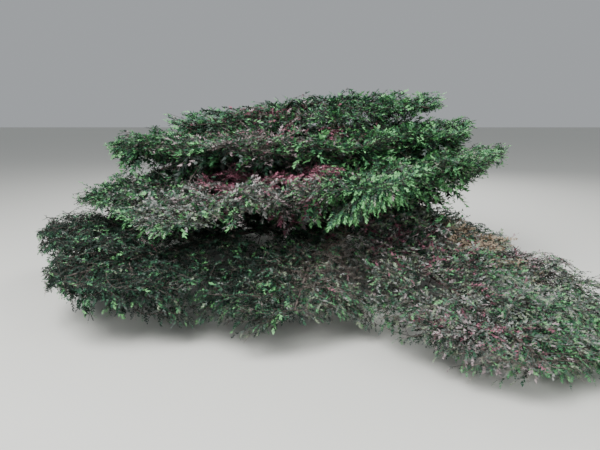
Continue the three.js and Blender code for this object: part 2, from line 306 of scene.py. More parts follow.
@dataclass(frozen=True)
class Patches:
    """A smooth pattern of patches.

    scale is about how far it is from one patch to the next, in metres, and phase says which pattern
    of this kind it is. Its waves run in the four directions `ways`, each one a little shorter than
    the one before and bent by it.
    """

    scale: float
    phase: float
    ways: tuple[tuple[float, float, float], ...] = (
        (0.9, 0.4, 0.5),
        (-0.5, 0.9, 0.3),
        (0.3, -0.7, 0.9),
        (0.8, 0.8, -0.6),
    )
    shorter: float = 0.23
    bend: float = 1.4
    contrast: float = 1.5

    def at(self, points: np.ndarray) -> np.ndarray:
        """The pattern at places, mostly from -1 to 1: the mean of the sine waves times the contrast.

        Args:
            points: places, with x, y and z last.

        Returns:
            One number for each place.
        """
        waves = FULL_TURN / self.scale
        bent = np.zeros(points.shape[:-1])
        total = np.zeros(points.shape[:-1])
        for turn, way in enumerate(self.ways):
            run = points @ np.array(way) * waves * (1 + self.shorter * turn)
            bent = np.sin(run + self.phase * (turn + 1) + self.bend * bent)
            total += bent
        return total / len(self.ways) * self.contrast


WIDE_BENDS = Patches(1.1, 6.0)
CLOSE_BENDS = Patches(0.42, 8.0)
BUMPS = Patches(0.3, 4.0)
GREENER = Patches(0.9, 3.0)
TUFTS = Patches(0.3, 5.0)
DRY = Patches(0.6, 11.0)
TRUNK_CRACKS = Patches(0.05, 2.0)
BOUGH_CRACK_SCALE = 0.12


def unit(vectors: np.ndarray) -> np.ndarray:
    """Vectors scaled to a length of 1, with x, y and z last."""
    return vectors / np.maximum(np.linalg.norm(vectors, axis=-1, keepdims=True), SHORTEST)


def smooth(low: float, high: float, value: np.ndarray) -> np.ndarray:
    """A ramp from 0 at low to 1 at high that starts and ends gently: 3t squared less 2t cubed."""
    share = np.clip((value - low) / (high - low), 0, 1)
    return share * share * (3 - 2 * share)


# The fans and their spines.


def trunk_axis(height: np.ndarray) -> np.ndarray:
    """Points on the stem's centre line, which leans by the square of the height.

    Args:
        height: heights in metres.

    Returns:
        The points, with x, y and z last.
    """
    share = np.asarray(height) / TRUNK_HEIGHT
    return np.stack((TRUNK_LEAN[0] * share**2, TRUNK_LEAN[1] * share**2, np.asarray(height)), axis=-1)


def curve_through(points: np.ndarray, samples: int) -> np.ndarray:
    """A smooth curve through points, sampled at even lengths.

    Between two points it is the cubic whose ends have the slopes that the neighbours give, and the
    time that each span takes is the square root of its length.

    Args:
        points: the points, one on each row.
        samples: how many places to return.

    Returns:
        Places at even steps of length from the first point to the last.
    """
    padded = np.vstack((2 * points[0] - points[1], points, 2 * points[-1] - points[-2]))
    time = np.linspace(0, 1, CURVE_STEPS)[:, None]
    spans = []
    for i in range(len(points) - 1):
        p0, p1, p2, p3 = padded[i : i + 4]
        d0, d1, d2 = (np.linalg.norm(b - a) ** 0.5 for a, b in ((p0, p1), (p1, p2), (p2, p3)))
        start = ((p1 - p0) / d0 - (p2 - p0) / (d0 + d1) + (p2 - p1) / d1) * d1
        end = ((p2 - p1) / d1 - (p3 - p1) / (d1 + d2) + (p3 - p2) / d2) * d1
        square = -3 * p1 + 3 * p2 - 2 * start - end
        cube = 2 * p1 - 2 * p2 + start + end
        spans.append(p1 + start * time + square * time**2 + cube * time**3)
    dense = np.vstack(spans)
    length = np.concatenate(([0.0], np.cumsum(np.linalg.norm(np.diff(dense, axis=0), axis=1))))
    even = np.linspace(0, length[-1], samples)
    return np.stack([np.interp(even, length, dense[:, axis]) for axis in range(3)], axis=-1)


class Fan:
    """One fan of foliage and the spine that carries it.

    Places on it are given by along, 0 where it starts and 1 at its outer edge, across, -1 to 1 from
    side to side, and a height above its middle.

    SAMPLES is how many places its spine has, and HANG_START the share of the reach where shoots start
    to hang. WIDE_BEND and CLOSE_BEND are how far two patterns bend the ledges, fully only inside of
    LEDGE_RIM. A ledge climbs up to LIP_START, falls from LIP_END on, and its level is LEDGE_LEVEL of
    its height. BUMP_HEIGHT is how high small bumps are, and BUMP_RISE the share of a place's height
    that their pattern reads, so that they are drawn out upwards. COVERED and OPEN are the shares of
    the reach of the storey above between which a fan comes out from under it.
    """

    SAMPLES = 401
    HANG_START = 0.72
    WIDE_BEND = 0.45
    CLOSE_BEND = 0.25
    LEDGE_RIM = 0.8
    LIP_START = 0.85
    LIP_END = 0.93
    LEDGE_LEVEL = 0.45
    BUMP_HEIGHT = 0.015
    BUMP_RISE = 0.3
    COVERED = 0.45
    OPEN = 0.75

    def __init__(self, storey: Storey, index: int) -> None:
        """Sets the fan's direction, width and spine.

        Args:
            storey: the storey that it belongs to.
            index: its number in that storey, from 0.
        """
        self.storey = storey
        self.index = index
        self.seed = storey.seed + index
        self.azimuth = self._azimuth_of(index)
        self.right_side = (self.azimuth - self._azimuth_of(index - 1)) / 2
        self.left_side = (self._azimuth_of(index + 1) - self.azimuth) / 2
        self.stretch = 1 + REACH_JITTER * sway(self.seed, STRETCH_SALT)
        self.lift = HEIGHT_JITTER * sway(self.seed, LIFT_SALT)
        self.spine = self._make_spine()
        radius = np.hypot(self.spine[:, 0], self.spine[:, 1])
        start = storey.inner * float(self.edge(np.array(0.0)))
        self.cut = int(np.argmax(radius >= start)) / (self.SAMPLES - 1)

    def _azimuth_of(self, index: int) -> float:
        """The direction of a fan of this storey, in radians."""
        jitter = sway(index % self.storey.fans, self.storey.seed)
        step = FULL_TURN / self.storey.fans
        return (index + jitter * AZIMUTH_JITTER) * step + math.radians(self.storey.turned)

    @property
    def node(self) -> str:
        """The name of the solid that this fan stands for."""
        return f"{self.storey.name}_foliage_{self.index + 1}"

    @property
    def length(self) -> float:
        """The fan's length from its start to its outer edge."""
        return float(self.edge(np.array(0.0))) * (1 - self.storey.inner)

    def azimuth_at(self, across: np.ndarray) -> np.ndarray:
        """The azimuth at places across the fan."""
        return self.azimuth + across * np.where(across < 0, self.right_side, self.left_side)

    def edge(self, across: np.ndarray) -> np.ndarray:
        """How far the fan reaches from the stem at places across it."""
        reach = around(self.storey.reach, self.azimuth_at(across))
        return reach * self.stretch * (1 - LOBE_SHARE * across**2)

    def middle(self, share: np.ndarray, across: np.ndarray) -> np.ndarray:
        """The height of the fan's middle.

        It falls from crest to rim by a power of the share of the reach, and droops at the sides.

        Args:
            share: shares of the fan's reach.
            across: places across it.

        Returns:
            The heights.
        """
        rim = around(self.storey.rim, self.azimuth_at(across)) + self.lift
        droop = SIDE_DROOP * across**2 * share
        fall = np.maximum(share, 0) ** self.storey.slope
        return self.storey.crest + (rim - self.storey.crest) * fall - droop

    def place(self, along: np.ndarray, across: np.ndarray, above: np.ndarray) -> np.ndarray:
        """Places on the fan as x, y and z.

        Args:
            along: from 0 where it starts to 1 at its outer edge.
            across: from -1 to 1.
            above: heights above the fan's middle.

        Returns:
            The places, with x, y and z last.
        """
        share = self.storey.inner + (1 - self.storey.inner) * along
        radius = share * self.edge(across)
        azimuth = self.azimuth_at(across)
        height = self.middle(share, across) + above
        return np.stack((radius * np.cos(azimuth), radius * np.sin(azimuth), height), axis=-1)

    def shell(self, along: np.ndarray, across: np.ndarray, level: float) -> np.ndarray:
        """The height of a sheet of the cushion above the fan's middle.

        The cushion is full in the middle and thins towards its edges by a fourth power.

        Args:
            along: places along the fan.
            across: places across it.
            level: 1 at the cushion's top, 0 in its middle and -1 at its underside.

        Returns:
            The heights.
        """
        x = np.abs((along - CORE_START) / (CORE_END - CORE_START) * 2 - 1)
        y = np.abs(across) / CORE_WIDTH
        edge = np.clip(np.maximum(x, y), 0, 1) ** CORE_EDGE_POWER
        above = self.storey.thick * (1 - (1 - CORE_EDGE_ABOVE) * edge)
        deep = around(self.storey.deep, self.azimuth_at(across))
        below = deep * (1 - (1 - CORE_EDGE_BELOW) * edge)
        return level * (above if level > 0 else below)

    def _make_spine(self) -> np.ndarray:
        """The line of bough and stem: out of the trunk, up to the fan and along its middle."""
        storey = self.storey
        level = (self.index * LEAVE_SKIP) % storey.fans
        start = trunk_axis(np.array(storey.leave + storey.leave_step * level))
        zeros = np.zeros(len(SPINE_PLACES))
        on_fan = self.place(np.array(SPINE_PLACES), zeros, zeros)
        root = on_fan[0]
        bend = start + (root - start) * BEND_SHARE
        bend[2] += (root[2] - start[2]) * BEND_CLIMB + storey.inner * BEND_ARCH
        return curve_through(np.vstack((start, bend, on_fan)), self.SAMPLES)

    def spine_radius(self, share: np.ndarray) -> np.ndarray:
        """The radius of bough and stem at shares of the spine."""
        eased = share**BOUGH_TAPER_POWER
        return self.storey.bough_radius + (STEM_TIP_RADIUS - self.storey.bough_radius) * eased

    def spine_part(self, start: float, end: float, count: int) -> tuple[np.ndarray, np.ndarray]:
        """Evenly spaced places on a part of the spine, and the radius at each.

        Args:
            start: the share of the spine where the part starts.
            end: the share where it ends.
            count: how many places.

        Returns:
            The places and the radii.
        """
        share = np.linspace(start, end, count)
        steps = np.linspace(0, 1, self.SAMPLES)
        places = np.stack([np.interp(share, steps, self.spine[:, axis]) for axis in range(3)], axis=-1)
        return places, self.spine_radius(share)

    def locate(self, points: np.ndarray) -> tuple[np.ndarray, np.ndarray]:
        """Where points are in plan: their share of the reach and their place across."""
        turn = np.arctan2(points[..., 1], points[..., 0]) - self.azimuth
        turn -= FULL_TURN * np.round(turn / FULL_TURN)
        across = turn / np.where(turn < 0, self.right_side, self.left_side)
        return np.hypot(points[..., 0], points[..., 1]) / self.edge(np.clip(across, -1, 1)), across

    def height(self, points: np.ndarray, level: float) -> np.ndarray:
        """The height of a sheet of the cushion over or under points.

        Args:
            points: places, with x, y and z last.
            level: the sheet's level.

        Returns:
            The heights.
        """
        share, across = self.locate(points)
        across = np.clip(across, -1, 1)
        along = (share - self.storey.inner) / (1 - self.storey.inner)
        return self.middle(share, across) + self.shell(along, across, level)

    def hang(self, points: np.ndarray) -> np.ndarray:
        """How steeply shoots hang at points: not inside the fan, and by the storey's droop at its rim."""
        share, _ = self.locate(points)
        azimuth = np.arctan2(points[..., 1], points[..., 0])
        droop = around(self.storey.droop, azimuth)
        for spot in HANGING.get(self.storey.name, ()):
            droop = droop + spot.strength(azimuth, share)
        return droop * smooth(self.HANG_START, 1.0, share)

    def ledge(self, points: np.ndarray) -> np.ndarray:
        """Where points are on the ledges that a sheet's surface forms, one below the other.

        The ledges are the fraction of the distance from the rim over their width. Two patterns of
        patches bend them, but not at the rim.

        Args:
            points: places, with x, y and z last.

        Returns:
            For each place, from 0 at a ledge's inner side to 1 at its lip.
        """
        share, across = self.locate(points)
        flat = points * np.array((1.0, 1.0, 0.0))
        bend = self.WIDE_BEND * WIDE_BENDS.at(flat) + self.CLOSE_BEND * CLOSE_BENDS.at(flat)
        inside = smooth(1.0, self.LEDGE_RIM, share)
        wave = (share - 1) * self.edge(np.clip(across, -1, 1)) / self.storey.ledge_width + bend * inside
        return wave - np.floor(wave)

    def swell(self, points: np.ndarray) -> np.ndarray:
        """How high a sheet's surface swells at points: ledges that climb to a lip, and small bumps."""
        ledge = self.ledge(points)
        lip = smooth(0.0, self.LIP_START, ledge) * (1 - smooth(self.LIP_END, 1.0, ledge))
        bumps = BUMPS.at(points * np.array((1.0, 1.0, self.BUMP_RISE)))
        return self.storey.ledge_height * (lip - self.LEDGE_LEVEL) + self.BUMP_HEIGHT * bumps

    def exposure(self, points: np.ndarray, covered: float) -> np.ndarray:
        """How much shows from outside: 1 in the open, and less under the storey above.

        Args:
            points: places, with x, y and z last.
            covered: what it is deep under the storey above.

        Returns:
            The exposure of each place.
        """
        above = STOREYS[max(STOREYS.index(self.storey) - 1, 0)]
        if above is self.storey:
            return np.ones(len(points))
        roof = around(above.reach, np.arctan2(points[..., 1], points[..., 0]))
        inside = np.hypot(points[..., 0], points[..., 1]) / roof
        return covered + (1 - covered) * smooth(self.COVERED, self.OPEN, inside)

    def holds(self, points: np.ndarray, room: float) -> np.ndarray:
        """Whether points are in this fan's own space, or only just outside its sides.

        Args:
            points: places, with x, y and z last.
            room: how much further than there they may be above and below.

        Returns:
            One truth value for each place.
        """
        storey = self.storey
        share, across = self.locate(points)
        above = points[..., 2] - self.middle(share, np.clip(across, -1, 1))
        in_plan = (np.abs(across) < SIDE_REACH) & (share < storey.end) & (share > storey.inner * INNER_ROOM)
        is_clear = (above < storey.over * OVER_REACH + room) & (above > -storey.under - room)
        return in_plan & is_clear & (points[..., 2] > GROUND_GAP)


# Meshes.


@dataclass
class Shape:
    """Triangles in arrays: points, faces of three point numbers, and a finish number for each face."""

    points: np.ndarray
    faces: np.ndarray
    finish: np.ndarray

    @staticmethod
    def join(shapes: list["Shape"]) -> "Shape":
        """One shape from several, with the faces' point numbers moved on."""
        offsets = np.cumsum([0] + [len(shape.points) for shape in shapes[:-1]])
        return Shape(
            np.vstack([shape.points for shape in shapes]),
            np.vstack([shape.faces + offset for shape, offset in zip(shapes, offsets)]),
            np.concatenate([shape.finish for shape in shapes]),
        )

    def make(self, name: str, materials: list[bpy.types.Material], is_smooth: bool) -> bpy.types.Object:
        """Puts the shape into a mesh object at the origin.

        Args:
            name: the piece's name.
            materials: one for each finish number.
            is_smooth: whether faces are shaded smooth.

        Returns:
            The object.
        """
        mesh = bpy.data.meshes.new(name)
        count = len(self.faces)
        mesh.vertices.add(len(self.points))
        mesh.vertices.foreach_set("co", self.points.astype(np.float32).ravel())
        mesh.loops.add(count * 3)
        mesh.loops.foreach_set("vertex_index", self.faces.astype(np.int32).ravel())
        mesh.polygons.add(count)
        mesh.polygons.foreach_set("loop_start", np.arange(0, count * 3, 3, dtype=np.int32))
        mesh.polygons.foreach_set("material_index", self.finish.astype(np.int32))
        mesh.polygons.foreach_set("use_smooth", np.full(count, is_smooth))
        for material in materials:
            mesh.materials.append(material)
        mesh.update(calc_edges=True)
        piece = bpy.data.objects.new(name, mesh)
        bpy.context.scene.collection.objects.link(piece)
        return piece


def sweep(paths: np.ndarray, radii: np.ndarray, sides: int, reference: np.ndarray = UP) -> Shape:
    """Closed tapering tubes, one along each path.

    The tangent t is the difference of a point's neighbours, the side vector s is t times the
    reference, u is s times t, and a ring is p + r (s cos a + u sin a) for even angles a.

    Args:
        paths: (tubes, points, 3).
        radii: (tubes, points), or (tubes, points, sides) where the wall has relief.
        sides: points in a ring.
        reference: a direction that no path runs along.

    Returns:
        The tubes with both ends closed, all in the first finish.
    """
    tubes, rings, _ = paths.shape
    tangent = unit(np.gradient(paths, axis=1))
    side = unit(np.cross(tangent, reference))
    upward = np.cross(side, tangent)
    angle = np.linspace(0, FULL_TURN, sides, endpoint=False)
    wall = radii if radii.ndim == 3 else radii[..., None]
    ring = side[:, :, None] * np.cos(angle)[:, None] + upward[:, :, None] * np.sin(angle)[:, None]
    points = paths[:, :, None] + ring * wall[..., None]
    number = np.arange(tubes * rings * sides).reshape(tubes, rings, sides)
    near, far = number[:, :-1], number[:, 1:]
    near_next, far_next = np.roll(near, -1, axis=2), np.roll(far, -1, axis=2)
    first = np.stack((near, far, far_next), axis=-1).reshape(-1, 3)
    second = np.stack((near, far_next, near_next), axis=-1).reshape(-1, 3)
    cap = np.stack((np.zeros(sides - 2, int), np.arange(1, sides - 1), np.arange(2, sides)), axis=-1)
    foot = number[:, 0][:, cap].reshape(-1, 3)
    tip = number[:, -1][:, cap[:, ::-1]].reshape(-1, 3)
    faces = np.vstack((first, second, foot, tip))
    return Shape(points.reshape(-1, 3), faces, np.zeros(len(faces), int))


def on_wall(angle: np.ndarray, height: np.ndarray, radius: float) -> np.ndarray:
    """Places on an upright round wall.

    Args:
        angle: the angles of the places in each ring.
        height: the rings' heights.
        radius: the wall's radius.

    Returns:
        The places as (rings, angles, 3): radius times the angle's cosine and sine, and the height.
    """
    rise, turn = np.meshgrid(height, angle, indexing="ij")
    return np.stack((radius * np.cos(turn), radius * np.sin(turn), rise), axis=-1)


# Materials.


def linear(colour: tuple[float, float, float]) -> tuple[float, float, float, float]:
    """A display colour of 0 to 255 in each channel as linear red, green, blue and alpha.

    The display's curve is straight for the darkest values and a power of 2.4 above them.
    """
    share = np.array(colour) / 255
    light = np.where(share <= 0.04045, share / 12.92, ((share + 0.055) / 1.055) ** 2.4)
    return (float(light[0]), float(light[1]), float(light[2]), 1.0)


class Signal:
    """A node's output, with Python's operators for sums on numbers."""

    def __init__(self, bench: "Bench", socket: bpy.types.NodeSocket) -> None:
        """Keeps the socket and the bench that its node is on."""
        self.bench = bench
        self.socket = socket

    def _sum(self, operation: str, first: "Signal | float", second: "Signal | float") -> "Signal":
        """Adds a Math node.

        Args:
            operation: the node's operation.
            first: its first value.
            second: its second value.

        Returns:
            The node's output.
        """
        return self.bench.node("ShaderNodeMath", {"operation": operation}, {0: first, 1: second})

    def __add__(self, other: "Signal | float") -> "Signal":
        """This plus other."""
        return self._sum("ADD", self, other)

    def __radd__(self, other: float) -> "Signal":
        """Other plus this."""
        return self._sum("ADD", other, self)

    def __mul__(self, other: "Signal | float") -> "Signal":
        """This times other."""
        return self._sum("MULTIPLY", self, other)

    def __rmul__(self, other: float) -> "Signal":
        """Other times this."""
        return self._sum("MULTIPLY", other, self)


class Bench:
    """A material and its nodes."""

    def __init__(self, name: str) -> None:
        """Makes a material with only a Principled shader and its output."""
        self.material = bpy.data.materials.new(name)
        self.material.use_nodes = True
        self.tree = self.material.node_tree
        self.shader = self.tree.nodes["Principled BSDF"]

    def node(self, kind: str, settings: dict, values: dict, output: int | str = 0) -> Signal:
        """Adds a node.

        Args:
            kind: the node's type.
            settings: its own properties, and "stops" for a colour ramp.
            values: a number, colour, vector or Signal for each input's name or number.
            output: which output to return.

        Returns:
            That output.
        """
        made = self.tree.nodes.new(kind)
        for key, value in settings.items():
            if key == "stops":
                self._set_stops(made.color_ramp, value)
            else:
                setattr(made, key, value)
        for key, value in values.items():
            self.feed(made.inputs[key], value)
        return Signal(self, made.outputs[output])

    @staticmethod
    def _set_stops(ramp: bpy.types.ColorRamp, stops: list[tuple[float, tuple]]) -> None:
        """Sets a ramp's stops: a position and a linear colour for each."""
        while len(ramp.elements) < len(stops):
            ramp.elements.new(0.5)
        for element, (position, colour) in zip(ramp.elements, stops):
            element.position = position
            element.color = colour

    def feed(self, socket: bpy.types.NodeSocket, value: "Signal | float | tuple") -> None:
        """Links a Signal to an input, or sets a plain value on it."""
        if isinstance(value, Signal):
            self.tree.links.new(value.socket, socket)
        else:
            socket.default_value = value

    def finish(self, **values: "Signal | float | tuple") -> bpy.types.Material:
        """Feeds the shader's inputs, named with _ for a space, and returns the material."""
        for key, value in values.items():
            self.feed(self.shader.inputs[key.replace("_", " ")], value)
        return self.material


@dataclass(frozen=True)
class PlainFinish:
    """A plain colour, the same all over, so that needles' colours can be dealt out by spray."""

    name: str
    colour: tuple[float, float, float]
    roughness: float = 0.55
    gloss: float = 0.28

    def make(self) -> bpy.types.Material:
        """The finish as a material."""
        bench = Bench(self.name)
        return bench.finish(
            Base_Color=linear(self.colour),
            Roughness=self.roughness,
            Specular_IOR_Level=self.gloss,
        )


@dataclass(frozen=True)
class TwigFinish:
    """Thin brown bark, lighter and darker along the twig.

    grain is how many marks it has in a metre, and edges are where they turn from dark to light.
    """

    name: str
    dark: tuple[float, float, float]
    light: tuple[float, float, float]
    grain: float = 60.0
    edges: tuple[float, float] = (0.35, 0.65)
    roughness: float = 0.85

    def make(self) -> bpy.types.Material:
        """The finish as a material."""
        bench = Bench(self.name)
        place = bench.node("ShaderNodeTexCoord", {}, {}, "Object")
        noise = bench.node("ShaderNodeTexNoise", {}, {"Vector": place, "Scale": self.grain, "Detail": 2.0})
        stops = list(zip(self.edges, (linear(self.dark), linear(self.light))))
        colour = bench.node("ShaderNodeValToRGB", {"stops": stops}, {"Fac": noise})
        return bench.finish(Base_Color=colour, Roughness=self.roughness)


@dataclass(frozen=True)
class BarkFinish:
    """Scaly grey-brown bark: flakes with dark joints between them, and grey lichen on some.

    flakes, grit and spots are how many of each there are in a metre, slender is a flake's width as
    a share of its height, steep how sharply it rises from its joint, and grain how much the grit
    adds. joint_edges and lichen_edges are where the colours change, veil how much of the bark's
    colour lichen hides, bump how strong the relief is and relief the height of a flake.
    """

    name: str
    joint: tuple[float, float, float] = (44, 34, 28)
    flake: tuple[float, float, float] = (112, 92, 78)
    lichen: tuple[float, float, float] = (146, 146, 132)
    flakes: float = 38.0
    grit: float = 130.0
    spots: float = 7.0
    slender: float = 0.55
    steep: float = 5.0
    grain: float = 0.45
    joint_edges: tuple[float, float] = (0.12, 0.6)
    lichen_edges: tuple[float, float] = (0.56, 0.66)
    veil: float = 0.7
    bump: float = 0.7
    relief: float = 0.004
    roughness: float = 0.9

    def make(self) -> bpy.types.Material:
        """The finish as a material."""
        bench = Bench(self.name)
        place = bench.node("ShaderNodeTexCoord", {}, {}, "Object")
        squashed = bench.node("ShaderNodeMapping", {}, {"Vector": place, "Scale": (1.0, 1.0, self.slender)})
        cells = bench.node(
            "ShaderNodeTexVoronoi",
            {"feature": "DISTANCE_TO_EDGE"},
            {"Vector": squashed, "Scale": self.flakes},
        )
        fine = bench.node("ShaderNodeTexNoise", {}, {"Vector": place, "Scale": self.grit, "Detail": 3.0})
        broad = bench.node("ShaderNodeTexNoise", {}, {"Vector": place, "Scale": self.spots, "Detail": 3.0})
        raised = cells * self.steep + fine * self.grain
        stops = list(zip(self.joint_edges, (linear(self.joint), linear(self.flake))))
        bark = bench.node("ShaderNodeValToRGB", {"stops": stops}, {"Fac": raised})
        spots = list(zip(self.lichen_edges, ((0, 0, 0, 1), (self.veil, self.veil, self.veil, 1))))
        lichen = bench.node("ShaderNodeValToRGB", {"stops": spots}, {"Fac": broad})
        colour = bench.node(
            "ShaderNodeMix",
            {"data_type": "RGBA"},
            {"Factor": lichen, 6: bark, 7: linear(self.lichen)},
            2,
        )
        bump = bench.node(
            "ShaderNodeBump", {}, {"Height": raised, "Strength": self.bump, "Distance": self.relief}
        )
        return bench.finish(Base_Color=colour, Roughness=self.roughness, Normal=bump)


# Sprays.


class Tint(Enum):
    """The plain needle colours, each with its finish. The near-black one is partly painted shade."""

    FRESH = PlainFinish("needles_fresh", (112, 174, 112))
    LIGHT = PlainFinish("needles_light", (80, 138, 90))
    MID = PlainFinish("needles_mid", (50, 88, 66))
    # Near-black green: partly old dark needles and partly painted shade for hollows, undersides and lips.
    DARK = PlainFinish("needles_dark_and_painted_shade", (19, 36, 29))
    OLIVE = PlainFinish("needles_olive", (126, 140, 116))
    DULL = PlainFinish("needles_dull", (88, 98, 92))
    GREY = PlainFinish("needles_grey", (144, 146, 142))
    RED = PlainFinish("needles_red_brown", (146, 92, 108), 0.75)
    PALE = PlainFinish("needles_pale_brown", (164, 148, 150), 0.75)
    TAN = PlainFinish("needles_tan", (166, 148, 126), 0.75)


TINTS = list(Tint)


class Tone(Enum):
    """What a spray looks like: its inner and its outer needle colour.

    BARE is a dead one, whose shoot stands among the twigs and has no needles to colour.
    """

    FRESH = (Tint.MID, Tint.FRESH)
    LIGHT = (Tint.MID, Tint.LIGHT)
    MID = (Tint.DARK, Tint.MID)
    DARK = (Tint.DARK, Tint.DARK)
    # Dark green sprays, partly painted shade where they are dealt out in hollows and below the top.
    OLIVE = (Tint.DULL, Tint.OLIVE)
    DULL = (Tint.MID, Tint.DULL)
    GREY = (Tint.DULL, Tint.GREY)
    RED = (Tint.RED, Tint.RED)
    PALE = (Tint.DULL, Tint.PALE)
    TAN = (Tint.TAN, Tint.TAN)
    BARE = (Tint.PALE, Tint.DULL)


TONES = list(Tone)
SHOOT_FINISH = 2


@dataclass(frozen=True)
class SprayShape:
    """A shoot set with needles, one long and lying along X, with its upper side towards Z.

    Sizes are shares of the shoot's length, and needles_width is the half width of all its needles
    together. Needles leave the shoot on both sides and above, between first and first + run along
    it, and crowding is the power that sets them closer at its tip. They lean `lean` degrees from its
    line at its root and tip_lean at its tip. roll is how far they turn about it, in degrees, tip_loss
    how much shorter they are at its tip, lengths how their lengths differ besides, and facing how
    much the way they face does. Those beyond inner_part have the outer colour.
    """

    needles: int
    needle_length: float = 0.31
    needles_width: float = 0.72
    first: float = 0.04
    run: float = 0.94
    crowding: float = 0.92
    lean: float = 56.0
    tip_lean: float = 18.0
    lean_spread: float = 6.0
    roll: tuple[float, float] = (-22.0, 52.0)
    tip_loss: float = 0.35
    lengths: tuple[float, float] = (0.82, 1.12)
    facing: float = 0.35
    curl: float = 0.1
    shoot_radius: float = 0.014
    inner_part: float = 0.45

    def build(self, rng: np.random.Generator) -> Shape:
        """One shoot with its needles.

        The shoot's line is z = -curl x squared. A needle is a triangle on a base across its own
        direction, which is cos(lean) along the shoot and sin(lean) out from it. Along the shoot the
        lean changes by the cube of the place, and the length by its fourth power.

        Args:
            rng: where its small differences come from.

        Returns:
            The spray. Its finish numbers are 0 for inner needles, 1 for outer ones, 2 for the shoot.
        """
        count = self.needles
        at = self.first + self.run * (np.arange(count) / (count - 1)) ** self.crowding
        foot = np.stack((at, np.zeros(count), -self.curl * at**2), axis=-1)
        own_lean = rng.normal(0, self.lean_spread, count)
        lean = np.radians(self.lean + (self.tip_lean - self.lean) * at**3 + own_lean)
        side = np.where(np.arange(count) % 2 == 0, 1.0, -1.0)
        roll = np.radians(rng.uniform(*self.roll, count))
        out = np.stack((np.zeros(count), side * np.cos(roll), np.sin(roll)), axis=-1)
        way = np.cos(lean)[:, None] * RIGHT + np.sin(lean)[:, None] * out
        length = self.needle_length * (1 - self.tip_loss * at**4) * rng.uniform(*self.lengths, count)
        face = unit(UP + rng.normal(0, self.facing, (count, 3)))
        across = unit(np.cross(way, face)) * (self.needles_width / count)
        points = np.stack((foot - across, foot + across, foot + way * length[:, None]), axis=1)
        faces = np.arange(count * 3).reshape(count, 3)
        outer = (at > self.inner_part).astype(int)
        return Shape.join([Shape(points.reshape(-1, 3), faces, outer), self._shoot()])

    def _shoot(self) -> Shape:
        """The shoot's own wood: two long triangles, one lying and one standing."""
        tip = (1.0, 0.0, -self.curl)
        half = self.shoot_radius
        lying = ((0.0, -half, 0.0), (0.0, half, 0.0), tip)
        standing = ((0.0, 0.0, -half), (0.0, 0.0, half), tip)
        return Shape(np.array(lying + standing), np.arange(6).reshape(2, 3), np.full(2, SHOOT_FINISH))


@dataclass(frozen=True)
class BareShape:
    """A dead shoot that has lost its needles: a thin line with thinner side shoots.

    Sizes are shares of its length. Its side shoots leave it between first and last, lean by `lean`
    degrees from it, climb by `rise`, and are shorter at its tip by tip_loss. radii are those of the
    line's two ends.
    """

    side_shoots: int = 11
    length: float = 0.5
    half_width: float = 0.012
    first: float = 0.06
    last: float = 0.94
    lean: tuple[float, float] = (30.0, 62.0)
    rise: tuple[float, float] = (-0.45, 0.35)
    tip_loss: float = 0.5
    lengths: tuple[float, float] = (0.6, 1.2)
    curl: float = 0.08
    radii: tuple[float, float] = (0.017, 0.005)

    def build(self, rng: np.random.Generator) -> Shape:
        """One dead shoot. Each side shoot is a long, thin triangle that leans forward.

        Args:
            rng: where its small differences come from.

        Returns:
            The shoot.
        """
        count = self.side_shoots
        at = np.linspace(self.first, self.last, count)
        side = np.where(np.arange(count) % 2 == 0, 1.0, -1.0)
        lean = np.radians(rng.uniform(*self.lean, count))
        rise = rng.uniform(*self.rise, count)
        way = unit(np.stack((np.cos(lean), side * np.sin(lean), rise), axis=-1))
        foot = np.stack((at, np.zeros(count), -self.curl * at**2), axis=-1)
        reach = self.length * (1 - self.tip_loss * at) * rng.uniform(*self.lengths, count)
        face = unit(rng.normal(0, 1, (count, 3)))
        across = unit(np.cross(way, face)) * self.half_width
        points = np.stack((foot - across, foot + across, foot + way * reach[:, None]), axis=1)
        faces = np.arange(count * 3).reshape(count, 3)
        sides = Shape(points.reshape(-1, 3), faces, np.zeros(count, int))
        line = np.array([[[0.0, 0.0, 0.0], [1.0, 0.0, -self.curl]]])
        return Shape.join([sides, sweep(line, np.array([self.radii]), 3)])


@dataclass
class Lines:
    """Many thin lines that carry shoots, each a row of places, with each line's own radii."""

    paths: np.ndarray
    radii: np.ndarray

    def at(self, share: np.ndarray) -> tuple[np.ndarray, np.ndarray]:
        """Places on the lines and the directions there, straight between neighbouring places.

        Args:
            share: (lines, places) shares of each line, from 0 to 1.

        Returns:
            The places and the unit directions, both (lines, places, 3).
        """
        spans = self.paths.shape[1] - 1
        turn = np.clip(share, 0, 1) * spans
        low = np.minimum(turn.astype(int), spans - 1)
        row = np.arange(len(self.paths))[:, None]
        start, end = self.paths[row, low], self.paths[row, low + 1]
        return start + (end - start) * (turn - low)[..., None], unit(end - start)

    def spots(self, row: np.ndarray, step: np.ndarray) -> tuple[np.ndarray, np.ndarray]:
        """The places and directions of spots, each given by its line and its share of it."""
        place, ahead = Lines(self.paths[row], self.radii[row]).at(step[:, None])
        return place[:, 0], ahead[:, 0]

    def lengths(self) -> np.ndarray:
        """Each line's length."""
        return np.linalg.norm(np.diff(self.paths, axis=1), axis=-1).sum(axis=1)


@dataclass
class Sprout:
    """What grows on a fan: twigs and branches as lines, and sprays by root, direction and size."""

    twigs: list[Lines] = field(default_factory=list)
    branches: list[Lines] = field(default_factory=list)
    root: list[np.ndarray] = field(default_factory=list)
    forward: list[np.ndarray] = field(default_factory=list)
    upward: list[np.ndarray] = field(default_factory=list)
    size: list[np.ndarray] = field(default_factory=list)
    tone: list[np.ndarray] = field(default_factory=list)

    def sprays(self) -> tuple[np.ndarray, ...]:
        """All sprays' roots, directions, upper sides, sizes and tones."""
        parts = (self.root, self.forward, self.upward, self.size, self.tone)
        return tuple(np.concatenate(part) for part in parts)


FIRST_SPOT = (0.2, 0.8)  # how many gaps from a line's start its first spot may be


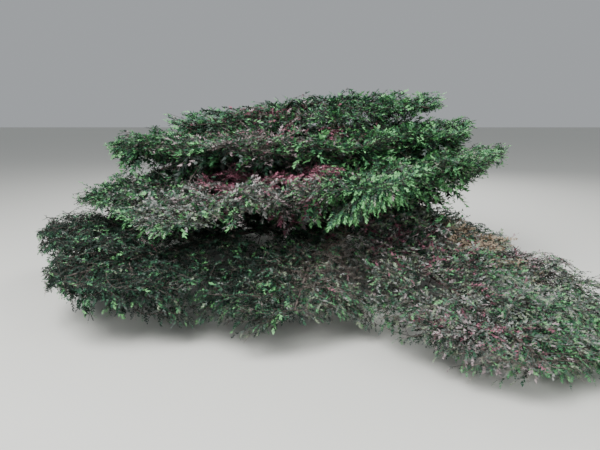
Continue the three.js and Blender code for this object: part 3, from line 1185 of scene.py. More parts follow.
def spots_along(lengths: np.ndarray, gap: float, rng: np.random.Generator) -> tuple[np.ndarray, np.ndarray]:
    """Spots at even distances along many lines, the first of them within the first gap.

    Args:
        lengths: the lines' lengths.
        gap: the distance from one spot to the next.
        rng: where the first spot's place on each line comes from.

    Returns:
        For each spot its line, and its share of the line's length.
    """
    most = int(np.ceil(lengths.max() / gap)) + 1
    number = np.arange(most)[None]
    share = (number + rng.uniform(*FIRST_SPOT, (len(lengths), 1))) * gap / lengths[:, None]
    row, spot = np.nonzero(share < 1)
    return row, share[row, spot]


def plant(
    template: Shape, root: np.ndarray, forward: np.ndarray, upward: np.ndarray, size: np.ndarray
) -> Shape:
    """Copies of a template, one at each root.

    A template point (x, y, z) goes to root + size (x forward + y side + z up), where side is up
    times forward.

    Args:
        template: the shape to copy.
        root: (copies, 3) places.
        forward: (copies, 3) directions of the template's X.
        upward: (copies, 3) directions near its Z.
        size: (copies,) lengths.

    Returns:
        The copies as one shape, with no point under the ground.
    """
    side = unit(np.cross(upward, forward))
    top = np.cross(forward, side)
    axes = np.stack((forward, side, top), axis=1) * size[:, None, None]
    points = root[:, None] + template.points @ axes
    points[..., 2] = np.maximum(points[..., 2], GROUND_GAP / 2)
    offset = np.arange(len(root))[:, None, None] * len(template.points)
    faces = (template.faces[None] + offset).reshape(-1, 3)
    return Shape(points.reshape(-1, 3), faces, np.tile(template.finish, len(root)))


# Growth.


@dataclass(frozen=True)
class Spot:
    """A place on a storey.

    azimuth is in degrees and share is of the fan's reach, each with how far the spot spreads.
    """

    azimuth: float
    azimuth_spread: float
    share: float
    share_spread: float
    weight: float

    def strength(self, azimuth: np.ndarray, share: np.ndarray) -> np.ndarray:
        """How strongly the spot is felt: a bell curve in azimuth and share.

        Args:
            azimuth: in radians.
            share: of the reach.

        Returns:
            The strength, at most the spot's weight.
        """
        turn = np.degrees(azimuth) - self.azimuth
        turn -= 360 * np.round(turn / 360)
        far = (turn / self.azimuth_spread) ** 2 + ((share - self.share) / self.share_spread) ** 2
        return self.weight * np.exp(-far)


@dataclass(frozen=True)
class Sheet:
    """One sheet of side twigs in a fan.

    level is 1 at the top of the cushion and -1 at its underside. first and last are where along
    the fan its pairs of twigs start, spacing the distance between pairs, and forward how far along
    the fan a twig gets on its way to the side. Branches leave a twig at every branch_gap and are
    `branch` long, and sprays leave a branch at every spray_gap and are `spray` long. rise is how
    steeply sprays climb, loose how much that differs among them, covered the share of them that
    grows under the storey above, bare how many are dead, limit the share of the fan's reach beyond
    which there are none, room how far the sheet may leave the fan's own space above and below, and
    where the only part of the storey that has it.
    """

    level: float
    first: float
    last: float
    spacing: float
    forward: float = TWIG_FORWARD
    branch: float = 0.29
    branch_gap: float = 0.115
    spray_gap: float = 0.048
    spray: float = 0.1
    loose: float = 0.26
    rise: float = 0.0
    covered: float = 0.3
    bare: float = 0.0
    limit: float = 1.0
    room: float = 0.0
    where: Spot | None = None

    @property
    def is_upper(self) -> bool:
        """Whether the sheet lies at the cushion's top or above it."""
        return self.level >= TOP_LEVEL


TOP_LEVEL = 1.0
FIRST_TIER = 0.2  # the level of the highest tier where there are several
LAST_TIER = -0.95  # and where one more than the lowest would be
LONE_TIER = -0.2


def tiers(count: int, spacing: float, undercut: float = 0.0) -> tuple[Sheet, ...]:
    """The sheets that end one below the other at a fan's rim, under its top sheet.

    Args:
        count: how many.
        spacing: the distance between their pairs of twigs.
        undercut: how much sooner than the top sheet they end, for each level below it.

    Returns:
        The sheets, from the top down.
    """
    levels = np.linspace(FIRST_TIER, LAST_TIER, count + 1)[:-1] if count > 1 else np.array((LONE_TIER,))
    return tuple(
        Sheet(
            level=float(level),
            first=0.42,
            last=0.97,
            spacing=spacing,
            forward=0.45,
            branch=0.25,
            branch_gap=0.14,
            spray_gap=0.058,
            rise=-0.12,
            covered=0.15,
            bare=0.08,
            limit=1.0 - undercut * (1.0 - float(level)),
        )
        for level in levels
    )


# The surface of a fan.
TOP_SHEET = Sheet(level=TOP_LEVEL, first=-0.04, last=0.98, spacing=0.2, rise=0.16, covered=0.25)
# The sparser sheet that is seen from below.
UNDERSIDE = Sheet(
    level=-1.0,
    first=0.02,
    last=0.97,
    spacing=0.34,
    branch=0.28,
    branch_gap=0.18,
    spray_gap=0.078,
    rise=-0.12,
    covered=0.5,
    bare=0.3,
)
# What fills the inside of the plant between two storeys.
FILLING = Sheet(
    level=2.0,
    first=-0.04,
    last=0.5,
    spacing=0.24,
    branch_gap=0.15,
    spray_gap=0.07,
    rise=0.1,
    covered=1.0,
    bare=0.15,
    limit=0.62,
    room=0.3,
)
# Dead twigs that hang in the dark below a fan.
BRUSH = Sheet(
    level=-1.7,
    first=-0.04,
    last=0.6,
    spacing=0.29,
    forward=0.34,
    branch_gap=0.14,
    spray_gap=0.075,
    spray=0.2,
    rise=-0.3,
    covered=1.0,
    bare=0.8,
    limit=0.72,
    room=0.3,
)
# The hanging shoots at the front.
CLUSTER = Sheet(
    level=-1.6,
    first=0.5,
    last=0.97,
    spacing=0.2,
    forward=0.45,
    branch=0.24,
    branch_gap=0.1,
    rise=-0.35,
    covered=1.0,
    where=Spot(-84, 10, 0.95, 0.5, 1.0),
)
# Each storey's sheets, in the order in which they grow.
SHEETS = {
    "crown": (
        TOP_SHEET,
        *tiers(1, 0.26, 0.07),
        replace(UNDERSIDE, limit=0.88),
        replace(FILLING, level=-1.6, limit=0.9, last=0.8, room=0.03),
    ),
    "upper": (
        TOP_SHEET,
        FILLING,
        *tiers(2, 0.28, 0.06),
        replace(UNDERSIDE, spacing=0.27, limit=0.88),
        replace(BRUSH, last=0.85, limit=0.9),
    ),
    "middle": (
        replace(TOP_SHEET, covered=0.45),
        *tiers(3, 0.3, 0.07),
        replace(UNDERSIDE, limit=0.87),
        BRUSH,
        replace(BRUSH, level=-3.2, limit=0.6),
        CLUSTER,
        replace(CLUSTER, level=-2.4),
        replace(CLUSTER, level=-3.2),
    ),
    "ground": (
        replace(TOP_SHEET, covered=0.5, rise=0.1, loose=0.13),
        replace(FILLING, bare=0.8, spray=0.13),
        replace(FILLING, level=4.0, limit=0.5, bare=0.8, spray=0.15),
        *tiers(3, 0.32),
        UNDERSIDE,
    ),
}


# Where each storey's sprays have more of one tone than elsewhere.
PATCHES = {
    "crown": (
        (Tone.RED, Spot(-138, 24, 0.7, 0.2, 6.0)),
        (Tone.PALE, Spot(-130, 28, 0.7, 0.3, 1.5)),
        (Tone.DULL, Spot(-120, 36, 0.6, 0.3, 1.5)),
        (Tone.LIGHT, Spot(-90, 80, 0.9, 0.3, 7.0)),
        (Tone.MID, Spot(-90, 90, 0.8, 0.5, 3.0)),
        (Tone.FRESH, Spot(-20, 50, 0.8, 0.4, 4.0)),
    ),
    "upper": (
        (Tone.RED, Spot(-112, 36, 0.6, 0.09, 9.0)),
        (Tone.PALE, Spot(-118, 36, 0.6, 0.12, 9.0)),
        (Tone.DULL, Spot(-118, 40, 0.68, 0.2, 6.0)),
        (Tone.FRESH, Spot(-88, 24, 0.8, 0.09, 24.0)),
        (Tone.LIGHT, Spot(-95, 45, 0.8, 0.1, 14.0)),
        (Tone.PALE, Spot(-122, 28, 0.88, 0.12, 14.0)),
        (Tone.BARE, Spot(-116, 28, 0.97, 0.08, 14.0)),
        (Tone.DULL, Spot(-112, 30, 0.97, 0.08, 12.0)),
        # Painted shade: near-black sprays at the front rim stand in for the shade under the lip.
        (Tone.DARK, Spot(-100, 24, 1.0, 0.06, 8.0)),
        (Tone.FRESH, Spot(-30, 36, 0.85, 0.25, 6.0)),
        (Tone.LIGHT, Spot(180, 40, 0.85, 0.3, 5.0)),
    ),
    "middle": (
        (Tone.RED, Spot(-126, 20, 0.55, 0.08, 60.0)),
        (Tone.PALE, Spot(-126, 20, 0.55, 0.08, 20.0)),
        (Tone.RED, Spot(-108, 9, 0.62, 0.08, 60.0)),
        (Tone.RED, Spot(-97, 8, 0.7, 0.08, 60.0)),
        (Tone.PALE, Spot(-101, 9, 0.88, 0.06, 24.0)),
        # Painted shade: near-black sprays at the front rim stand in for the shade under the lip.
        (Tone.DARK, Spot(-100, 9, 1.0, 0.08, 30.0)),
        (Tone.PALE, Spot(-122, 28, 0.76, 0.1, 10.0)),
        (Tone.GREY, Spot(-122, 30, 0.8, 0.13, 12.0)),
        (Tone.OLIVE, Spot(-112, 24, 0.92, 0.1, 10.0)),
        (Tone.FRESH, Spot(-83, 10, 0.92, 0.16, 30.0)),
        (Tone.FRESH, Spot(-125, 12, 0.97, 0.06, 9.0)),
        (Tone.FRESH, Spot(-30, 44, 0.85, 0.28, 12.0)),
        (Tone.LIGHT, Spot(-30, 44, 0.8, 0.3, 9.0)),
        (Tone.OLIVE, Spot(-33, 30, 0.75, 0.25, 9.0)),
    ),
    "ground": (
        # Painted shade: dark and mid green on the shaded left skirt, which also has drooping dark green
        # needles of its own.
        (Tone.DARK, Spot(-150, 42, 0.9, 0.45, 26.0)),
        (Tone.MID, Spot(-150, 48, 0.9, 0.45, 9.0)),
        (Tone.BARE, Spot(-150, 45, 0.8, 0.4, 1.5)),
        (Tone.GREY, Spot(-38, 40, 0.75, 0.4, 9.0)),
        (Tone.LIGHT, Spot(-53, 8, 0.64, 0.08, 14.0)),
        (Tone.LIGHT, Spot(-52, 10, 0.9, 0.1, 9.0)),
        (Tone.OLIVE, Spot(-40, 42, 0.8, 0.35, 12.0)),
        (Tone.LIGHT, Spot(-58, 9, 0.9, 0.12, 14.0)),
        (Tone.FRESH, Spot(-58, 9, 0.92, 0.1, 6.0)),
        (Tone.RED, Spot(-62, 16, 0.5, 0.16, 5.0)),
        (Tone.PALE, Spot(-62, 16, 0.5, 0.16, 4.0)),
        (Tone.TAN, Spot(-40, 7, 0.57, 0.08, 50.0)),
        (Tone.RED, Spot(-33, 6, 0.7, 0.06, 16.0)),
        (Tone.PALE, Spot(-32, 7, 0.71, 0.08, 60.0)),
        (Tone.PALE, Spot(-71, 6, 0.86, 0.06, 18.0)),
        (Tone.RED, Spot(-71, 5, 0.86, 0.05, 10.0)),
        (Tone.BARE, Spot(-71, 11, 0.97, 0.05, 16.0)),
        (Tone.BARE, Spot(-92, 10, 0.72, 0.14, 30.0)),
    ),
}
# Where a storey's shoots hang more than elsewhere at the rim, or less.
HANGING = {
    "middle": (
        Spot(-82, 9, 1.0, 0.5, 0.6),
        Spot(-104, 8, 1.0, 0.5, -0.6),
        Spot(-20, 34, 1.0, 0.5, -0.45),
    ),
    "ground": (
        Spot(-66, 20, 1.0, 0.4, 0.4),
    ),
}


@dataclass(frozen=True)
class TwigHabit:
    """How side twigs grow from a fan's spine. Pairs of numbers are limits.

    points and radii are those of a twig from root to tip, and thinnest is the share of the radii
    that the shortest would have. level is how near to its sheet a twig lies, width how far across
    the fan it reaches, fan_out the power by which it does so, and rim where it ends along the fan.
    Its start, forward run, width, end and height differ by the spreads. shortest is how much room a
    twig keeps along the fan and how much of its own run, and near_enough how strongly a spot has to
    be felt at its tip in a sheet that grows only there.
    """

    points: int = 6
    radii: tuple[float, float] = (0.0055, 0.002)
    thinnest: float = 0.6
    level: float = 0.7
    width: float = 0.99
    fan_out: float = 0.92
    rim: float = 0.955
    least_pairs: int = 3
    start_spread: float = 0.28
    forward_spread: tuple[float, float] = (0.75, 1.25)
    width_spread: tuple[float, float] = (0.92, 1.06)
    rim_spread: float = 0.02
    height_spread: float = 0.014
    shortest: tuple[float, float] = (0.06, 0.08)
    near_enough: float = 0.5


@dataclass(frozen=True)
class BranchHabit:
    """How branches grow from twigs. Pairs of numbers are limits.

    points and radii are those of a branch from root to tip. angle and angle_spread are its angle
    from the twig in degrees, ahead how far it bends forward, root_length and loss its length at the
    twig's root and how much shorter it is at the tip. rise is the share of the sheet's rise that it
    takes, and hang_top and hang_below are the shares of the fan's hang in an upper sheet and others.
    Branches of an upper sheet climb to it, but those shorter than lift_length only in part.
    """

    points: int = 3
    radii: tuple[float, float] = (0.0026, 0.0012)
    angle: float = 48.0
    angle_spread: float = 12.0
    ahead: float = 0.2
    root_length: float = 1.1
    loss: float = 0.65
    length_spread: tuple[float, float] = (0.65, 1.2)
    rise: float = 0.5
    rise_spread: float = 0.16
    hang_top: float = 0.4
    hang_below: float = 0.8
    lift_length: float = 0.1


@dataclass(frozen=True)
class SprayHabit:
    """How sprays grow from twigs, branches and the fan's own stem. Pairs of numbers are limits.

    twig_gap is how much wider apart sprays stand on a twig, and stem_gap how far apart on the stem,
    where they grow up to stem_end in rows that climb by stem_rises. tip is where on a line its last
    spray stands. root_length and loss are a spray's length at its line's root and how much shorter
    it is at the tip, and fresh_growth how much longer a fresh one is. hang_top and hang_below are
    the shares of the fan's hang in an upper sheet and others, and lip_hang is what a ledge's lip
    adds. Under a fan's top sheet sprays are fewer where the cushion is less deep than thin_cushion,
    and in its inner part, by inner_share. outer is where the outer end of a line starts. outward,
    on_lip and in_hollow are where tones change, along the fan and over a ledge, and red_below and
    others_below are the shares of a patch's weight that sprays under the top get.
    """

    angle: float = 48.0
    angle_spread: float = 19.2
    place_spread: float = 0.03
    root_length: float = 1.1
    loss: float = 0.3
    length_spread: tuple[float, float] = (0.6, 1.2)
    upward_spread: float = 0.3
    tip: float = 0.98
    twig_gap: float = 1.1
    stem_gap: float = 0.03
    stem_end: float = 0.97
    stem_points: int = 24
    stem_rises: tuple[float, float] = (0.3, 0.9)
    fresh_growth: float = 1.3
    hang_top: float = 0.6
    hang_below: float = 1.0
    lip_hang: float = 0.25
    lip: tuple[float, float] = (0.6, 0.95)
    thin_cushion: float = 0.26
    inner_share: float = 0.15
    inner: tuple[float, float] = (0.55, 0.85)
    outer: float = 0.8
    outward: tuple[float, float] = (0.55, 1.0)
    on_lip: tuple[float, float] = (0.5, 0.85)
    in_hollow: tuple[float, float] = (0.4, 0.05)
    red_below: float = 0.05
    others_below: float = 0.4


@dataclass(frozen=True)
class Growth:
    """Grows a fan's twigs, branches and sprays by their habits."""

    twig: TwigHabit = TwigHabit()
    branch: BranchHabit = BranchHabit()
    spray: SprayHabit = SprayHabit()

    def grow(self, fan: Fan) -> Sprout:
        """Grows all sheets of a fan, and the sprays on its own stem.

        Args:
            fan: the fan.

        Returns:
            Its twigs, branches and sprays.
        """
        rng = np.random.default_rng(fan.seed)
        sprout = Sprout()
        for sheet in SHEETS[fan.storey.name]:
            self._sheet(fan, sheet, rng, sprout)
        stem, _ = fan.spine_part(fan.cut, self.spray.stem_end, self.spray.stem_points)
        on_stem = Lines(stem[None], np.zeros((1, self.spray.stem_points)))
        for rise in self.spray.stem_rises:
            self._sprays(fan, replace(TOP_SHEET, rise=rise), on_stem, self.spray.stem_gap, rng, sprout)
        return sprout

    def _sheet(self, fan: Fan, sheet: Sheet, rng: np.random.Generator, sprout: Sprout) -> None:
        """Grows one sheet: pairs of twigs along the spine, branches on them, sprays on those.

        A twig is at its start + forward s along the fan and at width times nearly s across it, and
        climbs from the spine to its sheet as 1 - (1 - s) cubed. It ends at the fan's rim.

        Args:
            fan: the fan.
            sheet: the sheet.
            rng: where small differences come from.
            sprout: what has grown so far, which gets the sheet's growth.
        """
        twig = self.twig
        pairs = max(twig.least_pairs, round(fan.length * (sheet.last - sheet.first) / sheet.spacing))
        start = np.repeat(np.linspace(sheet.first, sheet.last, pairs), 2)
        count = len(start)
        furthest = min(twig.rim, (sheet.limit - fan.storey.inner) / (1 - fan.storey.inner))
        start = start + rng.normal(0, twig.start_spread / pairs, count)
        start = np.minimum(start, furthest - twig.shortest[0])
        forward = sheet.forward * rng.uniform(*twig.forward_spread, count)
        width = np.tile((1.0, -1.0), pairs) * twig.width * rng.uniform(*twig.width_spread, count)
        rim = furthest - np.abs(rng.normal(0, twig.rim_spread, count))
        end = np.clip((rim - start) / forward, twig.shortest[1], 1.0)
        share = np.linspace(0, 1, twig.points) * end[:, None]
        along = start[:, None] + forward[:, None] * share
        across = width[:, None] * share**twig.fan_out
        climb = 1 - (1 - share) ** 3
        own_height = rng.normal(0, twig.height_spread, (count, 1))
        above = fan.shell(along, across, sheet.level * twig.level) + own_height
        paths = fan.place(along, across, above * climb)
        paths[..., 2] += fan.swell(paths) * climb
        paths[..., 2] = np.maximum(paths[..., 2], GROUND_GAP)
        if sheet.where:
            tips = paths[:, -1]
            strength = sheet.where.strength(np.arctan2(tips[:, 1], tips[:, 0]), fan.locate(tips)[0])
            near = strength > twig.near_enough
            if not near.any():
                return
            paths, end = paths[near], end[near]
        taper = np.linspace(*twig.radii, twig.points)
        twigs = Lines(paths, taper * (twig.thinnest + (1 - twig.thinnest) * end[:, None]))
        sprout.twigs.append(twigs)
        self._sprays(fan, sheet, twigs, sheet.spray_gap * self.spray.twig_gap, rng, sprout)
        branches = self._branches(fan, sheet, twigs, rng)
        sprout.branches.append(branches)
        self._sprays(fan, sheet, branches, sheet.spray_gap, rng, sprout)

    def _branches(self, fan: Fan, sheet: Sheet, twigs: Lines, rng: np.random.Generator) -> Lines:
        """The branches on both sides of every twig of a sheet.

        A branch at share t is at its root + length (t way + t squared times a part of the twig's
        own direction) in plan. Its height changes as the sheet's does, plus a rise of its own.

        Args:
            fan: the fan.
            sheet: the sheet.
            twigs: the sheet's twigs.
            rng: where small differences come from.

        Returns:
            The branches.
        """
        branch = self.branch
        row, step = spots_along(twigs.lengths(), sheet.branch_gap * fan.storey.closer, rng)
        hand = np.tile((1.0, -1.0), len(row))
        row, step = np.repeat(row, 2), np.repeat(step, 2)
        root, ahead = twigs.spots(row, step)
        level = unit(np.cross(UP, ahead))
        count = len(root)
        angle = np.radians(branch.angle + rng.normal(0, branch.angle_spread, count))
        way = ahead * np.cos(angle)[:, None] + level * (hand * np.sin(angle))[:, None]
        shorter = branch.root_length - branch.loss * step
        length = sheet.branch * shorter * rng.uniform(*branch.length_spread, count)
        time = np.linspace(0, 1, branch.points)[None, :, None]
        run = way[:, None] * time + ahead[:, None] * branch.ahead * time**2
        paths = root[:, None] + run * length[:, None, None]
        drape = fan.height(paths, sheet.level) + fan.swell(paths)
        hang = fan.hang(root) * (branch.hang_top if sheet.is_upper else branch.hang_below)
        lift = (1 - self.twig.level) * fan.storey.thick * 2 if sheet.is_upper else 0.0
        own = rng.normal(0, branch.rise_spread, count) + sheet.rise * branch.rise - hang
        own = own + lift / np.maximum(length, branch.lift_length)
        rise = drape - drape[:, :1] + (own * length)[:, None] * time[..., 0]
        paths[..., 2] = np.maximum(root[:, None, 2] + rise, GROUND_GAP)
        fits = fan.holds(paths[:, -1], sheet.room)
        radii = np.tile(np.linspace(*branch.radii, branch.points), (int(fits.sum()), 1))
        return Lines(paths[fits], radii)

    def _sprays(
        self,
        fan: Fan,
        sheet: Sheet,
        lines: Lines,
        gap: float,
        rng: np.random.Generator,
        sprout: Sprout,
    ) -> None:
        """Sprays on both sides of every line, and one at its tip.

        A spray points at an angle from its line, climbs by the sheet's rise, hangs at the rim, and
        is shorter near the line's tip. One whose tip would leave the fan's space isn't grown, nor
        is a part of those that the storey above covers.

        Args:
            fan: the fan.
            sheet: the sheet.
            lines: the lines.
            gap: the distance from one pair of sprays to the next.
            rng: where small differences come from.
            sprout: what has grown so far, which gets the sprays.
        """
        spray = self.spray
        row, step = spots_along(lines.lengths(), gap * fan.storey.closer, rng)
        row = np.concatenate((row, row, np.arange(len(lines.paths))))
        hand = np.repeat((1.0, -1.0, 0.0), (len(step), len(step), len(lines.paths)))
        step = np.concatenate((step, step, np.full(len(lines.paths), spray.tip)))
        step = np.clip(step + rng.normal(0, spray.place_spread, len(step)), 0, 1)
        root, ahead = lines.spots(row, step)
        level = unit(np.cross(UP, ahead))
        count = len(root)
        own_angle = rng.normal(0, spray.angle_spread, count)
        angle = np.radians(spray.angle + own_angle) * np.abs(hand)
        way = ahead * np.cos(angle)[:, None] + level * (hand * np.sin(angle))[:, None]
        share, _ = fan.locate(root)
        hang = fan.hang(root) * (spray.hang_top if sheet.is_upper else spray.hang_below)
        hang = hang + spray.lip_hang * smooth(*spray.lip, fan.ledge(root))
        way[:, 2] += sheet.rise + rng.normal(0, sheet.loose, count) - hang
        way = unit(way)
        shorter = spray.root_length - spray.loss * step
        size = sheet.spray * fan.storey.spray * shorter * rng.uniform(*spray.length_spread, count)
        upward = UP + rng.normal(0, spray.upward_spread, (count, 3))
        shown = fan.exposure(root, sheet.covered)
        if sheet.covered < 1 and not sheet.is_upper:
            deep = around(fan.storey.deep, np.arctan2(root[:, 1], root[:, 0]))
            outer = spray.inner_share + (1 - spray.inner_share) * smooth(*spray.inner, share)
            shown = shown * outer * np.minimum(deep / spray.thin_cushion, 1)
        grown = (shown > rng.uniform(0, 1, count)) & (share < sheet.limit)
        tone = self._tones(fan, sheet, root, share, (hand == 0.0) | (step > spray.outer), rng)
        size = size * np.where(tone == TONES.index(Tone.FRESH), spray.fresh_growth, 1.0)
        fits = fan.holds(root + way * size[:, None], sheet.room) & grown
        sprout.root.append(root[fits])
        sprout.forward.append(way[fits])
        sprout.upward.append(upward[fits])
        sprout.size.append(size[fits])
        sprout.tone.append(tone[fits])

    def _tones(
        self,
        fan: Fan,
        sheet: Sheet,
        root: np.ndarray,
        share: np.ndarray,
        is_outer: np.ndarray,
        rng: np.random.Generator,
    ) -> np.ndarray:
        """Deals a tone to every spray.

        Each tone has a weight that depends on how far out the spray is, where on its ledge, its
        sheet, its storey and three patterns of patches. The patches of its storey add to that, those
        of red needles almost only in an upper sheet. A random number picks one tone by weight.

        Args:
            fan: the fan.
            sheet: the sheet.
            root: where the sprays are.
            share: shares of the fan's reach.
            is_outer: whether a spray is at the outer end of its twig.
            rng: where the choice comes from.

        Returns:
            Tone numbers.
        """
        storey = fan.storey
        outward = smooth(*self.spray.outward, share)
        green = GREENER.at(root)
        tufts = TUFTS.at(root)
        dry = DRY.at(root)
        ledge = fan.ledge(root)
        lip = smooth(*self.spray.on_lip, ledge)
        hollow = smooth(*self.spray.in_hollow, ledge)
        is_top = float(sheet.is_upper)
        # Fresh and light green lie on lips, at ends and outwards, near-black green in hollows and below the
        # top, which is painted shade as well as old needles, olive in tufts, dull green and red in dry
        # patches, and pale brown where green is least.
        weight = {
            Tone.FRESH: storey.fresh
            * (0.1 + 2.4 * outward**1.5 + 0.7 * is_outer + 1.1 * lip)
            * (1 + 0.5 * green)
            * (1 + 0.5 * tufts)
            * (0.35 + 1.1 * lip),
            Tone.LIGHT: 0.5 + 0.9 * outward + 0.5 * is_outer + 1.2 * lip,
            Tone.MID: 1.8 + 0 * share,
            Tone.DARK: 0.7 - 0.4 * outward + 1.6 * (1 - is_top) + 2.2 * hollow,
            Tone.OLIVE: storey.olive * (1 + 0.8 * tufts) * (0.5 + lip),
            Tone.DULL: storey.dull * (0.9 + 1.2 * smooth(0.0, 0.8, dry)),
            Tone.GREY: 0.05 * storey.dull * lip,
            Tone.RED: storey.brown * (1.6 * smooth(0.25, 0.9, dry) + 1.4 * hollow) * (1 - outward),
            Tone.PALE: storey.brown * 1.6 * smooth(0.3, 0.9, -green) * (1 - 0.6 * outward),
            Tone.TAN: 0.0 * share,
            Tone.BARE: sheet.bare * 2.5 * (1 - 0.7 * outward),
        }
        azimuth = np.arctan2(root[:, 1], root[:, 0])
        for tone, spot in PATCHES[storey.name]:
            below = self.spray.red_below if tone is Tone.RED else self.spray.others_below
            weight[tone] = weight[tone] + spot.strength(azimuth, share) * (below + (1 - below) * is_top)
        table = np.stack([np.maximum(weight[tone], 0) for tone in TONES], axis=-1).cumsum(axis=-1)
        pick = rng.uniform(0, 1, len(root)) * table[:, -1]
        return (pick[:, None] > table).sum(axis=-1)


# Sub-assemblies.


def fans_of(storey: Storey) -> list[Fan]:
    """All fans of a storey."""
    return [Fan(storey, index) for index in range(storey.fans)]


def hand_over(piece: bpy.types.Object, nodes: list[str]) -> None:
    """Puts a piece on the root body, hides the nodes that it replaces, and reports its faces.

    Args:
        piece: the piece.
        nodes: the nodes that it replaces.
    """
    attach(piece, "root")
    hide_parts(*nodes)
    log.info("%s: %d faces", piece.name, len(piece.data.polygons))


@dataclass
class FoliageDress:
    """The twigs and needles of one storey.

    Its sprays are copies of `templates` green ones and as many dead ones, whose length is dead_size
    of what the sheet says. The three seeds are added to those of the storey and its fans.
    """

    storey: Storey
    growth: Growth = Growth()
    templates: int = 8
    stem_end: float = 0.93
    stem_points: int = 14
    stem_sides: int = 7
    twig_sides: int = 3
    dead_size: float = 1.25
    template_seed: int = 50
    green_seed: int = 7
    dead_seed: int = 8

    def build(self, finishes: "Finishes") -> None:
        """Grows the storey's fans and makes their pieces.

        Args:
            finishes: the shared materials.
        """
        rng = np.random.default_rng(self.storey.seed + self.template_seed)
        shape = SprayShape(needles=self.storey.needles)
        green = [shape.build(rng) for _ in range(self.templates)]
        dead = [BareShape().build(rng) for _ in range(self.templates)]
        needles, twigs = [], []
        for fan in fans_of(self.storey):
            sprout = self.growth.grow(fan)
            needles.append((fan, self._needles(sprout, fan, green)))
            twigs.append((fan, self._twigs(sprout, fan, dead)))
        slot = f"{self.storey.name}_needles"
        self._pieces(needles, slot, finishes.needles, is_smooth=False)
        self._pieces(twigs, f"{self.storey.name}_twigs", finishes.twigs, is_smooth=True)

    def _needles(self, sprout: Sprout, fan: Fan, templates: list[Shape]) -> Shape:
        """The fan's sprays that have needles, each from one of the templates.

        Args:
            sprout: what grows on the fan.
            fan: the fan.
            templates: shoots with needles.

        Returns:
            The needles, with a finish number for each tint and one more for the shoots.
        """
        root, forward, upward, size, tone = sprout.sprays()
        kind = np.random.default_rng(fan.seed + self.green_seed).integers(0, self.templates, len(root))
        colours = np.array([[TINTS.index(tint) for tint in look.value] + [len(TINTS)] for look in TONES])
        shapes = []
        for number, template in enumerate(templates):
            chosen = (kind == number) & (tone != TONES.index(Tone.BARE))
            made = plant(template, root[chosen], forward[chosen], upward[chosen], size[chosen])
            look = np.repeat(tone[chosen], len(template.faces))
            shapes.append(Shape(made.points, made.faces, colours[look, made.finish]))
        return Shape.join(shapes)

    def _twigs(self, sprout: Sprout, fan: Fan, templates: list[Shape]) -> Shape:
        """The fan's stem, side twigs, branches and dead shoots.

        The crown has no boughs, so its stems start inside the trunk.

        Args:
            sprout: what grows on the fan.
            fan: the fan.
            templates: dead shoots.

        Returns:
            The twigs: finish 0 for living bark and 1 for dead wood.
        """
        start = 0.0 if self.storey is CROWN else fan.cut
        stem, radius = fan.spine_part(start, self.stem_end, self.stem_points)
        shapes = [sweep(stem[None], radius[None], self.stem_sides)]
        thin = sprout.twigs + sprout.branches
        shapes += [sweep(lines.paths, lines.radii, self.twig_sides) for lines in thin]
        root, forward, upward, size, tone = sprout.sprays()
        kind = np.random.default_rng(fan.seed + self.dead_seed).integers(0, self.templates, len(root))
        size = size * self.dead_size
        for number, template in enumerate(templates):
            chosen = (kind == number) & (tone == TONES.index(Tone.BARE))
            made = plant(template, root[chosen], forward[chosen], upward[chosen], size[chosen])
            shapes.append(Shape(made.points, made.faces, made.finish + 1))
        return Shape.join(shapes)

    def _pieces(
        self,
        parts: list[tuple[Fan, Shape]],
        name: str,
        materials: list[bpy.types.Material],
        is_smooth: bool,
    ) -> None:
        """Joins the fans' shapes into as few pieces as the limit allows.

        Args:
            parts: each fan with its shape.
            name: the pieces' name, which gets a number.
            materials: for the shapes' finish numbers.
            is_smooth: whether faces are shaded smooth.
        """
        groups: list[list[tuple[Fan, Shape]]] = [[]]
        total = 0
        for part in parts:
            if total + len(part[1].faces) > PIECE_LIMIT:
                groups.append([])
                total = 0
            groups[-1].append(part)
            total += len(part[1].faces)
        for number, group in enumerate(groups, start=1):
            shape = Shape.join([part[1] for part in group])
            piece = shape.make(f"{name}_{number}", materials, is_smooth)
            hand_over(piece, [part[0].node for part in group])


